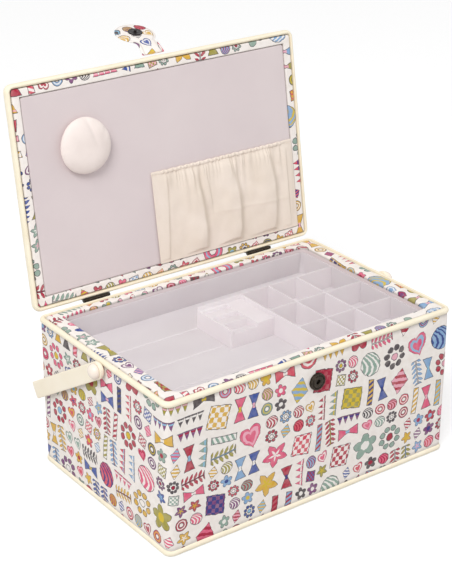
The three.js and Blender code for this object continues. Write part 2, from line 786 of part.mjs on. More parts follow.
function buildStrap(lid) {
  const half = strapThickness / 2;
  const neckPivot = new THREE.Group();
  neckPivot.position.set(0, strapPlane - hingeY, strapRootZ - hingeZ);
  neckPivot.rotation.x = -radians(strapRestNeck);
  lid.add(neckPivot);
  const neckShape = new THREE.Shape([
    [-strapNeckFlare / 2, 0], [strapNeckFlare / 2, 0],
    [strapNeckWidth / 2, -strapNeckLength], [-strapNeckWidth / 2, -strapNeckLength],
  ].map(([x, z]) => new THREE.Vector2(x, z)));
  const hanging = (geometry) => geometry.rotateX(Math.PI / 2).translate(0, half, 0);
  const clothSheet = { depth: strapThickness, bevelEnabled: false };
  const neckBody = hanging(new THREE.ExtrudeGeometry(neckShape, clothSheet));
  const neck = cut(
    join(neckBody, rod('x', half, -strapNeckFlare / 2, strapNeckFlare / 2, 0, 0)),
    rod('x', half + seatGap, -strapNeckFlare, strapNeckFlare, 0, -strapNeckLength),
  );
  add(neckPivot, 'strap_neck', neck, printedFabric);

  const headPivot = new THREE.Group();
  headPivot.position.set(0, 0, -strapNeckLength);
  headPivot.rotation.x = -radians(strapRestHead);
  neckPivot.add(headPivot);
  const waist = strapNeckWidth / 2;
  const headShape = new THREE.Shape([
    [-waist, 0], [waist, 0], [waist, -strapHeadReach], [-waist, -strapHeadReach],
  ].map(([x, z]) => new THREE.Vector2(x, z)));
  const headBody = hanging(new THREE.ExtrudeGeometry(headShape, clothSheet));
  const disc = rod('y', strapHeadRadius, -half, half, 0, -strapHeadReach, roundSteps);
  const head = join(headBody, disc, rod('x', half, -waist, waist, 0, 0));
  add(headPivot, 'strap_head', head, printedFabric);
  const stud = turned([
    [0, 0],
    [studRadius, 0],
    [studRadius, studThickness - studEdge],
    [studRadius - studEdge, studThickness],
    [studPostRadius, studThickness],
    [studPostRadius, studThickness + studPostLength - (studPostRadius - studPostTipRadius)],
    [studPostTipRadius, studThickness + studPostLength],
    [0, studThickness + studPostLength],
  ]).translate(0, half + seatGap, -strapHeadReach);
  add(headPivot, 'snap_stud', stud, blackMetal);
  const cap = turned([
    [0, 0], [snapCapRadius, 0], [snapCapRadius, snapCapHeight / 2],
    [snapCapRadius - snapCapHeight, snapCapHeight], [0, snapCapHeight],
  ]).rotateX(Math.PI).translate(0, -half - seatGap, -strapHeadReach);
  add(headPivot, 'snap_cap', cap, blackMetal);
}

// Hinges: the case leaf carries the two outer knuckles and the lid leaf the middle one.
// The knuckles nest in the notch between the piping of the case and that of the lid.
function buildHinges(group, lid) {
  const sweep = barrelRadius + knuckleGap;
  const behind = hingeY + lidLeafHeight;
  const casePlateY = boxDepth / 2 + seatGap;
  const lidPlateY = lidRear + seatGap;
  [['left', -1], ['right', 1]].forEach(([side, sign]) => {
    const middle = sign * (boxWidth / 2 - hingeFromSide);
    const low = middle - hingeWidth / 2;
    const high = middle + hingeWidth / 2;
    const knuckleLow = middle - hingeWidth / 6;
    const knuckleHigh = middle + hingeWidth / 6;
    const pinBore = rod('x', hingePinRadius + pinGap, low - cutOverrun, high + cutOverrun, hingeY, hingeZ);
    const caseLeaf = cut(
      join(
        block([low, casePlateY, hingeZ - caseLeafHeight], [high, casePlateY + leafThickness, hingeZ]),
        rod('x', barrelRadius, low, high, hingeY, hingeZ),
      ),
      pinBore,
      block(
        [knuckleLow - knuckleGap, 0, hingeZ - sweep],
        [knuckleHigh + knuckleGap, behind, hingeZ + sweep],
      ),
    );
    add(group, `${side}_hinge_case_leaf`, caseLeaf, darkBronze);
    const head = hingePinRadius + pinGap;
    const pinHeads = [[low - seatGap - head, low - seatGap], [high + seatGap, high + seatGap + head]]
      .map(([from, to]) => rod('x', barrelRadius - pinGap, from, to, hingeY, hingeZ));
    const pin = join(rod('x', hingePinRadius, low - seatGap, high + seatGap, hingeY, hingeZ), ...pinHeads);
    add(group, `${side}_hinge_pin`, pin, darkBronze);
    const lidPlate = cut(
      block([low, lidPlateY, hingeZ], [high, lidPlateY + leafThickness, hingeZ + lidLeafHeight]),
      block([low - cutOverrun, 0, 0], [knuckleLow, behind, hingeZ + sweep]),
      block([knuckleHigh, 0, 0], [high + cutOverrun, behind, hingeZ + sweep]),
    );
    const lidLeaf = cut(
      join(lidPlate, rod('x', barrelRadius, knuckleLow, knuckleHigh, hingeY, hingeZ)),
      pinBore,
    );
    add(lid, `${side}_hinge_lid_leaf`, onLid(lidLeaf), darkBronze);
  });
}

// The tray is moulded in one piece: long rows on the left, a grooved rack, and small cells on the right
function buildTray(group) {
  const halfX = openingHalfX - traySideGap;
  const halfY = openingHalfY - traySideGap;
  const body = loft([
    outline(halfX - trayTaper, halfY - trayTaper, trayCornerRadius - trayTaper, trayLow),
    outline(halfX, halfY, trayCornerRadius, trayTop),
  ]);
  const rim = trayWall / 2 + trayTaper / 2;
  const lines = [-halfX + rim, ...trayColumnShares.map((share) => share * halfX), halfX - rim];
  const rowPitch = (2 * halfY - 2 * rim) / trayRows;
  const rowLine = (row) => halfY - rim - row * rowPitch;
  const floor = trayLow + trayFloor;
  const cell = (left, right, backY, frontY, low, high) => {
    const x = (left + right) / 2;
    const y = (backY + frontY) / 2;
    const wide = (right - left - trayWall) / 2;
    const deep = (backY - frontY - trayWall) / 2;
    return loft([
      shifted(outline(wide - cellTaper, deep - cellTaper, cellCornerRadius, low, cellCornerSteps), x, y, 0),
      shifted(outline(wide, deep, cellCornerRadius, high, cellCornerSteps), x, y, 0),
    ]);
  };
  const above = trayTop + cutOverrun;
  const ridgeTop = floor + ridgeHeight;
  const pockets = [cell(lines[0], lines[1], rowLine(0), rowLine(trayRows), ridgeTop, above)];
  for (let row = 0; row < trayRows; row += 1) {
    pockets.push(cell(lines[0], lines[1], rowLine(row), rowLine(row + 1), floor, ridgeTop + cutOverrun));
    for (let column = 2; column + 1 < lines.length; column += 1) {
      pockets.push(cell(lines[column], lines[column + 1], rowLine(row), rowLine(row + 1), floor, above));
    }
  }
  pockets.push(cell(lines[1], lines[2], rowLine(rackRows), rowLine(trayRows), floor, above));

  // The rack is a row of saw-tooth grooves for reels, hollow underneath
  const rackBack = rowLine(0) - trayWall / 2;
  const rackFront = rowLine(rackRows) + trayWall / 2;
  const rackLength = rackBack - rackFront;
  const ridge = trayTop - rackRidgeBelowTop;
  const plateau = rackBack - rackPlateauShare * rackLength;
  const groovePitch = (plateau - rackFront) / rackGrooves;
  const teeth = [[rackBack, ridge], [plateau, ridge]];
  for (let groove = 0; groove < rackGrooves; groove += 1) {
    const start = plateau - groove * groovePitch;
    teeth.push([start - rackSlopeShare * groovePitch, ridge - rackGrooveDepth]);
    teeth.push([start - groovePitch, ridge]);
  }
  const across = (points, left, right) => {
    const shape = new THREE.Shape(points.map(([y, z]) => new THREE.Vector2(y, z)));
    const geometry = new THREE.ExtrudeGeometry(shape, { depth: right - left, bevelEnabled: false });
    const alongX = new THREE.Matrix4().makeBasis(
      new THREE.Vector3(0, 1, 0), new THREE.Vector3(0, 0, 1), new THREE.Vector3(1, 0, 0),
    );
    return geometry.applyMatrix4(alongX).translate(left, 0, 0);
  };
  const rackLeft = lines[1] + trayWall / 2;
  const rackRight = lines[2] - trayWall / 2;
  pockets.push(across([...teeth, [rackFront, above], [rackBack, above]], rackLeft, rackRight));
  const under = teeth.map(([y, z]) => [y, z - rackSkin]);
  under[0][0] -= trayWall;
  under[under.length - 1][0] += trayWall;
  const underLow = trayLow - cutOverrun;
  pockets.push(across(
    [...under, [under[under.length - 1][0], underLow], [under[0][0], underLow]],
    rackLeft + trayWall, rackRight - trayWall,
  ));
  add(group, 'tray', cut(body, ...pockets), trayPlastic);
}

const sewingBox = new THREE.Group();
buildCaseBoards(sewingBox);
buildCaseCovers(sewingBox);
buildSnapSocket(sewingBox);
buildHandlePivots(sewingBox);
buildHandle(sewingBox);
buildTray(sewingBox);

const lidGroup = new THREE.Group();
lidGroup.position.set(0, hingeY, hingeZ);
lidGroup.rotation.x = -radians(lidLean);
sewingBox.add(lidGroup);
buildLidPanel(lidGroup);
buildPincushion(lidGroup);
buildPocket(lidGroup);
buildStrap(lidGroup);
buildHinges(sewingBox, lidGroup);

export default sewingBox;
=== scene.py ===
"""A fabric-covered sewing box that stands open: padded lid, lift-out tray, pincushion, pocket and bail."""
import json
import math
from functools import partial

import bmesh
import bpy
import numpy as np
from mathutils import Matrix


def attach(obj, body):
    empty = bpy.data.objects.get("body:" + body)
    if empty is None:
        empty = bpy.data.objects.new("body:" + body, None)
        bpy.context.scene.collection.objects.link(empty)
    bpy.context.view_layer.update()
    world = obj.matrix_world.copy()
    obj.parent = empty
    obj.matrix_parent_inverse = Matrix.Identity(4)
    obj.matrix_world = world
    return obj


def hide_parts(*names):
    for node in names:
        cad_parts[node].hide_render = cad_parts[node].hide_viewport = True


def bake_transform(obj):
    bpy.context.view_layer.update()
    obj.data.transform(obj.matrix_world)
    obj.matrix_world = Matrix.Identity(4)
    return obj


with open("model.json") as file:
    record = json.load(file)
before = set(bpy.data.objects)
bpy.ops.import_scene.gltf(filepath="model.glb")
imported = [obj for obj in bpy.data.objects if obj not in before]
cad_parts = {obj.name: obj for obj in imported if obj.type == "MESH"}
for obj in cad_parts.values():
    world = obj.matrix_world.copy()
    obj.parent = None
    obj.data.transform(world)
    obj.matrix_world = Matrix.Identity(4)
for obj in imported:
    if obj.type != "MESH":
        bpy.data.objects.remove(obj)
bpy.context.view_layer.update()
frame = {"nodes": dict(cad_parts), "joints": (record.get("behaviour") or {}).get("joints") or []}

# The camera stands where the photograph was taken from, in metres
camera_data = bpy.data.cameras.new("camera")
camera_data.lens = 97.42
camera_data.sensor_width = 36.0
camera = bpy.data.objects.new("camera", camera_data)
camera.location = (-0.91084, -1.21486, 0.89184)
camera.rotation_euler = (math.radians(65.399), 0.0, math.radians(-36.068))
bpy.context.scene.collection.objects.link(camera)
bpy.context.scene.camera = camera
bpy.context.scene.view_settings.view_transform = "Standard"

# Sizes are in millimetres, as on a maker's drawing, and become metres in make_piece
MM = 0.001


def turned_about_x(points, degrees, y, z):
    """Points turned about a line along X through (y, z): y' = y cos - z sin, z' = y sin + z cos."""
    angle = math.radians(degrees)
    dy, dz = points[..., 1] - y, points[..., 2] - z
    turned = np.array(points, float)
    turned[..., 1] = y + dy * math.cos(angle) - dz * math.sin(angle)
    turned[..., 2] = z + dy * math.sin(angle) + dz * math.cos(angle)
    return turned


def extent(node, turn=None):
    """Lowest and highest corner of a solid, after a turn back to the place where it lies square."""
    vertices = frame["nodes"][node].data.vertices
    points = np.empty(len(vertices) * 3)
    vertices.foreach_get("co", points)
    points = points.reshape(-1, 3) / MM
    if turn:
        points = turned_about_x(points, *turn)
    return points.min(0), points.max(0)


def joint_place(name):
    """Y and Z of a joint's axis."""
    joint = next(joint for joint in frame["joints"] if joint["name"] == name)
    return [value / MM for value in joint["pos_m"][1:]]


# Turns that shut the lid and level the bail, each about its own axis
lid_range = next(joint["range_deg"] for joint in frame["joints"] if joint["name"] == "lid_hinge")
shut = (-lid_range[0], *joint_place("lid_hinge"))
bail_droop = 31.1
pivot = joint_place("handle_swing")
level = (bail_droop, *pivot)

# Corner radii and thicknesses that a box can't give
case_radius, opening_radius, rim_radius = 9.4, 9.0, 3.1
lid_radius, lid_cover_radius, lining_radius, bail_radius = 8.5, 7.0, 3.0, 12.0
cord_width, lid_cord_width = 6.0, 5.2
cover_thickness, lining_thickness, bail_thickness = 1.2, 0.8, 4.0
stitch_gap = 0.3

# Places of the solids that the pieces dress
cord_low, cord_high = extent("top_piping")
foot_low, foot_high = extent("bottom_piping")
cover_low, cover_high = extent("outer_cover")
rim_low, rim_high = extent("rim_cover")
wall_low, wall_high = extent("wall_lining")
floor_low, floor_high = extent("floor_lining")
lid_cord_low, lid_cord_high = extent("lid_piping", shut)
band_low, band_high = extent("lid_band", shut)
lining_low, lining_high = extent("lid_lining", shut)
lid_cover_low, lid_cover_high = extent("lid_cover", shut)
pincushion_low, pincushion_high = extent("pincushion", shut)
pocket_low, pocket_high = extent("pocket", shut)
elastic_low, elastic_high = extent("pocket_elastic", shut)
socket_low, socket_high = extent("snap_socket")
tray_low, tray_high = extent("tray")
bail_low, bail_high = extent("handle_bail", level)
cap_low, cap_high = extent("right_handle_cap")
opening_half = wall_high[:2] - lining_thickness
lining_face = lining_low[2]


def linear(code):
    """The linear RGBA of an sRGB hex colour."""
    channels = [int(code[i:i + 2], 16) / 255 for i in (1, 3, 5)]
    return [c / 12.92 if c <= 0.04045 else ((c + 0.055) / 1.055) ** 2.4 for c in channels] + [1.0]


def smooth_step(value, low, high):
    """0 below low, 1 above high, and 3t^2 - 2t^3 between."""
    t = np.clip((value - low) / (high - low), 0, 1)
    return t * t * (3 - 2 * t)


def hump(value, width):
    """A bell of height 1: exp(-(value / width)^2)."""
    return np.exp(-(value / width) ** 2)


def blunted(wave, power):
    """A wave pushed out towards -1 and 1 by a power below 1: sign(wave) |wave|^power."""
    return np.sign(wave) * np.abs(wave) ** power


def full_turn(steps):
    """Even angles round a full turn, the last one a step short of the first."""
    return np.arange(steps) / steps * 2 * np.pi


def ripples(points, wavelength, seed):
    """Soft uneven height, mostly from -1 to 1: plane sine waves of random directions and lengths near the
    wavelength, summed and divided by 1.6 times the root of their number."""
    waves, random = 9, np.random.default_rng(seed)
    directions = random.normal(size=(waves, 3))
    directions /= np.linalg.norm(directions, axis=1)[:, None]
    lengths = wavelength * random.uniform(0.7, 1.6, waves)
    phases = random.uniform(0, 2 * np.pi, waves)
    steps = points @ (directions / lengths[:, None] * 2 * np.pi).T + phases
    return np.sin(steps).sum(-1) / math.sqrt(waves) / 1.6


def grid_normals(points):
    """Unit normals of a grid that wraps both ways: the cross product of its differences along each way."""
    along, around = (np.roll(points, -1, axis) - np.roll(points, 1, axis) for axis in (0, 1))
    normals = np.cross(along, around)
    return normals / np.maximum(np.linalg.norm(normals, axis=-1, keepdims=True), 1e-9)


def rounded_loop(half_x, half_y, radius, corner_steps=8, side_steps=(48, 32)):
    """Rounded rectangles, one for each size: quarter arcs about the corner centres, and straight sides."""
    half_x, half_y, radius = (
        np.atleast_1d(np.asarray(size, float))[:, None] for size in (half_x, half_y, radius)
    )
    signs = ((1, 1), (-1, 1), (-1, -1), (1, -1))
    across, along = [], []
    for corner, (sign_x, sign_y) in enumerate(signs):
        angle = (corner + np.linspace(0, 1, corner_steps + 1)) * np.pi / 2
        x = sign_x * (half_x - radius) + radius * np.cos(angle)
        y = sign_y * (half_y - radius) + radius * np.sin(angle)
        next_x, next_y = signs[(corner + 1) % 4]
        share = np.arange(1, side_steps[corner % 2]) / side_steps[corner % 2]
        end_x = next_x * (half_x - radius) + radius * math.cos((corner + 1) * math.pi / 2)
        end_y = next_y * (half_y - radius) + radius * math.sin((corner + 1) * math.pi / 2)
        across += [x, x[:, -1:] + (end_x - x[:, -1:]) * share]
        along += [y, y[:, -1:] + (end_y - y[:, -1:]) * share]
    return np.concatenate(across, 1), np.concatenate(along, 1)


def carried(half, radius, insets, heights, **loop):
    """A profile of insets and heights carried round a rounded rectangle. Its UV is lengths round and up."""
    least_radius = 0.6
    radii = np.maximum(radius - insets, least_radius)
    x, y = rounded_loop(half[0] - insets, half[1] - insets, radii, **loop)
    points = np.stack([x, y, np.broadcast_to(heights[:, None], x.shape)], -1)
    around, up = (
        np.concatenate([[0], np.cumsum(np.linalg.norm(np.roll(line, -1, 0) - line, axis=1))])
        for line in (points[int(np.argmin(insets))], np.stack([insets, heights], -1))
    )
    return points, np.stack(np.meshgrid(around, up + heights[0]), -1)


def closed(outer, inner):
    """A profile that runs along its outer face and comes back along its inner one."""
    return np.concatenate([outer, np.broadcast_to(inner, np.shape(outer))[::-1]])


def corner_ids(rows, columns, wrap):
    """The four corners of each quad of a grid, going on over the join where it wraps."""
    row = np.arange(rows if wrap[0] else rows - 1)[:, None]
    column = np.arange(columns if wrap[1] else columns - 1)[None, :]
    corners = [(row, column), (row, column + 1), (row + 1, column + 1), (row + 1, column)]
    return [(r + 0 * c, c + 0 * r) for r, c in corners]


# How a grid closes on itself: not at all, round along its columns, round along its rows, or both ways
SHEET, ROUND, SLEEVE, RING = (False, False), (False, True), (True, False), (True, True)


def make_piece(name, grids, material, body, *stands_for, facing=None, sharp=60, merge=0.002):
    """One mesh from grids, each (points, UV or None, how it closes, and painted shade or nothing). The
    painted shade is 1 where cloth runs down into its stitching or a crease, where shade falls, and UVs are
    lengths on the cloth. A lid piece is worked out with the lid shut, and is leaned back here about the
    hinge axis."""
    all_points, all_faces, all_uv, all_painted_shade, start = [], [], [], [], 0
    for points, uv, wrap, *seam in grids:
        rows, columns = points.shape[:2]
        uv = points[..., :2] if uv is None else uv
        if body == "lid":
            points = turned_about_x(points, -shut[0], *shut[1:])
        ids = corner_ids(rows, columns, wrap)
        corners = [(row % rows) * columns + column % columns for row, column in ids]
        corner_uv = [uv[row % uv.shape[0], column % uv.shape[1]] for row, column in ids]
        all_faces.append(np.stack(corners, -1).reshape(-1, 4) + start)
        all_uv.append(np.stack(corner_uv, -2).reshape(-1, 2))
        all_points.append(points.reshape(-1, 3))
        all_painted_shade.append(np.broadcast_to(seam[0] if seam else 0.0, (rows, columns)).ravel())
        start += rows * columns
    points, faces = np.concatenate(all_points), np.concatenate(all_faces)
    mesh = bpy.data.meshes.new(name)
    mesh.vertices.add(len(points))
    mesh.vertices.foreach_set("co", (points * MM).astype(np.float32).ravel())
    mesh.loops.add(faces.size)
    mesh.loops.foreach_set("vertex_index", faces.astype(np.int32).ravel())
    mesh.polygons.add(len(faces))
    mesh.polygons.foreach_set("loop_start", np.arange(0, faces.size, 4, dtype=np.int32))
    mesh.update(calc_edges=True)
    uv = (np.concatenate(all_uv) * MM).astype(np.float32)
    mesh.uv_layers.new(name="UVMap").data.foreach_set("uv", uv.ravel())
    # Painted shade, kept on each point for the cloth materials to darken by
    painted_shades = mesh.attributes.new("seam", "FLOAT", "POINT")
    painted_shades.data.foreach_set("value", np.concatenate(all_painted_shade).astype(np.float32))
    work = bmesh.new()
    work.from_mesh(mesh)
    bmesh.ops.remove_doubles(work, verts=work.verts, dist=merge * MM)
    bmesh.ops.dissolve_degenerate(work, edges=work.edges, dist=merge * MM / 4)
    bmesh.ops.recalc_face_normals(work, faces=work.faces)
    if facing is not None:
        mean = sum((face.normal * face.calc_area() for face in work.faces), start=work.faces[0].normal * 0)
        if mean.dot(facing) < 0:
            bmesh.ops.reverse_faces(work, faces=work.faces)
    work.to_mesh(mesh)
    work.free()
    return finish_piece(name, mesh, material, body, stands_for, sharp)


def finish_piece(name, mesh, material, body, stands_for, sharp):
    """Shades the mesh smooth but for its sharp edges, gives it its material and places it on its body."""
    mesh.polygons.foreach_set("use_smooth", np.ones(len(mesh.polygons), bool))
    mesh.set_sharp_from_angle(angle=math.radians(sharp))
    mesh.materials.clear()
    mesh.materials.append(material)
    piece = bpy.data.objects.new(name, mesh)
    bpy.context.scene.collection.objects.link(piece)
    if body:
        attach(piece, body)
    if stands_for:
        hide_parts(*stands_for)
    return piece


def add(tree, kind, *inputs, stops=(), blend="LINEAR", **settings):
    """Adds a shader node by its kind, such as TexNoise. An upper-case kind is the operation of a Math node.
    Inputs are numbers, colours, nodes or sockets, in the order of its sockets, and a dict gives inputs by
    name. A tuple that starts with a kind adds a node of its own. Stops are the (place, hex colour) pairs of
    a colour ramp."""
    if kind.isupper():
        kind, settings = "Math", {"operation": kind}
    made = tree.nodes.new("ShaderNode" + kind)
    for key, value in settings.items():
        setattr(made, key, value)
    if stops:
        made.color_ramp.interpolation = blend
        while len(made.color_ramp.elements) < len(stops):
            made.color_ramp.elements.new(0.5)
        for element, (place, code) in zip(made.color_ramp.elements, stops):
            element.position, element.color = place, linear(code)
    for number, given in enumerate(inputs):
        for key, value in given.items() if isinstance(given, dict) else [(number, given)]:
            if isinstance(value, tuple) and isinstance(value[0], str):
                value = add(tree, *value)
            if isinstance(value, bpy.types.Node):
                value = value.outputs[0]
            if isinstance(value, bpy.types.NodeSocket):
                tree.links.new(value, made.inputs[key])
            else:
                made.inputs[key].default_value = value
    return made


def blank(name, kind="materials"):
    """A new material or world with an empty node tree, and the function that adds to that tree."""
    made = getattr(bpy.data, kind).new(name)
    made.use_nodes = True
    made.node_tree.nodes.clear()
    return made, partial(add, made.node_tree)


def woven(node, place, thread):
    """Height of a plain weave: the product of two sine bands that cross, one thread apart."""
    ways = node("SeparateXYZ", place).outputs
    turns = math.pi / (thread * MM)
    return node("MULTIPLY", *[("SINE", ("MULTIPLY", ways[axis], turns)) for axis in (0, 1)])


def cloth(name, body_colour, shade_colour, painted_shade_colour, thread, patch, roughness, sheen, bump):
    """Plain woven cloth: a cloudy change of colour over patches, painted shade where it runs down into its
    stitching or a crease, and a bump from its crossing threads, which are drawn about twice as coarse as
    they are, so that they show."""
    material, node = blank(name)
    place = node("TexCoord").outputs["UV"]
    clouds = node("TexNoise", {"Vector": place, "Scale": 1 / (patch * MM), "Detail": 4.0})
    colour = node("ValToRGB", clouds, stops=((0.3, shade_colour), (0.68, body_colour)))
    # Painted shade: a darker colour mixed in by the per-point painted shade attribute
    seam = node("Attribute", attribute_name="seam").outputs["Fac"]
    colour = node("Mix", {0: seam, 6: colour, 7: linear(painted_shade_colour)}, data_type="RGBA")
    slubs = ("TexNoise", {"Vector": place, "Scale": 1 / (3 * thread * MM), "Detail": 2.0})
    height = ("ADD", woven(node, place, thread), slubs)
    node("OutputMaterial", ("BsdfPrincipled", {
        "Base Color": colour.outputs[2], "Roughness": roughness, "Specular IOR Level": 0.3,
        "Sheen Weight": sheen, "Sheen Roughness": 0.4,
        "Normal": ("Bump", {"Strength": bump, "Distance": 0.3 * thread * MM, "Height": height}),
    }))
    return material


# Cream cotton bias tape over a cord: matt, slightly warm, with painted shade in the crease where it is sewn
# down
piping_cotton = cloth("cream_cotton_piping", "#FBF2DC", "#F4E9CF", "#D0B88C", 1.1, 25, 0.75, 0.15, 0.25)
# Satin lining: smooth and even, a pinkish grey, with a soft sheen and hardly any weave
lining_satin = cloth("satin_lining", "#DDD1D1", "#D7CACB", "#A39692", 0.9, 110, 0.5, 0.2, 0.06)
# Pocket cotton: cream plain weave, soft and matt
pocket_cotton = cloth("cream_pocket_cotton", "#F0E3D7", "#E7D9CA", "#CDB9A0", 1.0, 50, 0.75, 0.2, 0.15)
# Pincushion satin: off-white with a soft sheen over the stuffing
cushion_satin = cloth("offwhite_pincushion_satin", "#F3E7E1", "#EADDD7", "#A8978D", 0.9, 30, 0.6, 0.3, 0.1)
# Spun underside cloth: matt and slightly fibrous
underside_felt = cloth("spun_underside_cloth", "#E6DFD2", "#D9D0C0", "#B8AE9C", 1.4, 20, 0.9, 0.1, 0.3)


def moulded(name, body_colour, shade_colour, roughness, alpha=1.0, scatter=0.0):
    """Moulded plastic: an even colour with faint clouds, and a fine grain from the mould. A milky one
    scatters light inside its walls."""
    material, node = blank(name)
    cloud, grain, grain_depth, scatter_length = 45.45, 0.6, 0.3, 12
    place = node("TexCoord").outputs["Object"]
    clouds = ("TexNoise", {"Vector": place, "Scale": 1 / (cloud * MM), "Detail": 2.0})
    fine = ("TexNoise", {"Vector": place, "Scale": 1 / (grain * MM), "Detail": 2.0})
    node("OutputMaterial", ("BsdfPrincipled", {
        "Base Color": node("ValToRGB", clouds, stops=((0.3, shade_colour), (0.7, body_colour))),
        "Roughness": roughness, "IOR": 1.5, "Alpha": alpha,
        "Normal": ("Bump", {"Strength": 0.08, "Distance": grain_depth * MM, "Height": fine}),
        "Subsurface Weight": scatter, "Subsurface Radius": (1.0, 1.0, 1.0),
        "Subsurface Scale": scatter_length * MM,
    }))
    return material


# Moulded cream polypropylene of the bail: smooth, half gloss
cream_plastic = moulded("moulded_cream_polypropylene", "#FAF0DC", "#F6EAD2", 0.4)
# The caps are the same plastic from another batch, a little pinker and glossier
cap_plastic = moulded("moulded_cap_polypropylene", "#F6E9DC", "#F1E2D3", 0.25)
# Frosted polypropylene of the tray: milky, its walls lighter where they overlap
tray_plastic = moulded("frosted_polypropylene", "#F6EFF1", "#F1E9EC", 0.45, alpha=0.78, scatter=0.3)


def metal(name, colour, shade_colour, roughness, metallic):
    """Plated metal: blotches of a darker tone and uneven polish from handling."""
    material, node = blank(name)
    blotch = 2.381
    place = node("TexCoord").outputs["Object"]
    blotches = node("TexNoise", {"Vector": place, "Scale": 1 / (blotch * MM), "Detail": 3.0})
    node("OutputMaterial", ("BsdfPrincipled", {
        "Base Color": node("ValToRGB", blotches, stops=((0.35, shade_colour), (0.7, colour))),
        "Roughness": ("MapRange", {
            "Value": blotches, "To Min": roughness - 0.08, "To Max": roughness + 0.1,
        }),
        "Metallic": metallic,
    }))
    return material


# Antique bronze plate of the hinges and the front socket: dark brown grey, worn softer on its faces
dark_bronze = metal("antique_bronze_plate", "#463E35", "#2B251F", 0.4, 0.85)
# Black oxide on the strap's stud: nearly black with a small highlight
black_metal = metal("black_oxide_steel", "#1E1416", "#120B0C", 0.32, 0.5)
# Bright zinc on bolts, nuts and washers
zinc = metal("bright_zinc_steel", "#C2C2C0", "#A8A8A6", 0.32, 1.0)


def greyboard():
    """Pressed board: matt brown grey with short fibres."""
    material, node = blank("pressed_greyboard")
    fibre, fibre_depth = 3.333, 0.4
    place = node("TexCoord").outputs["Object"]
    fibres = node("TexNoise", {
        "Vector": place, "Scale": 1 / (fibre * MM), "Detail": 6.0, "Distortion": 1.5,
    })
    node("OutputMaterial", ("BsdfPrincipled", {
        "Base Color": node("ValToRGB", fibres, stops=((0.3, "#6E6252"), (0.7, "#9A8A70"))),
        "Roughness": 0.9,
        "Normal": ("Bump", {"Strength": 0.3, "Distance": fibre_depth * MM, "Height": fibres}),
    }))
    return material


board = greyboard()


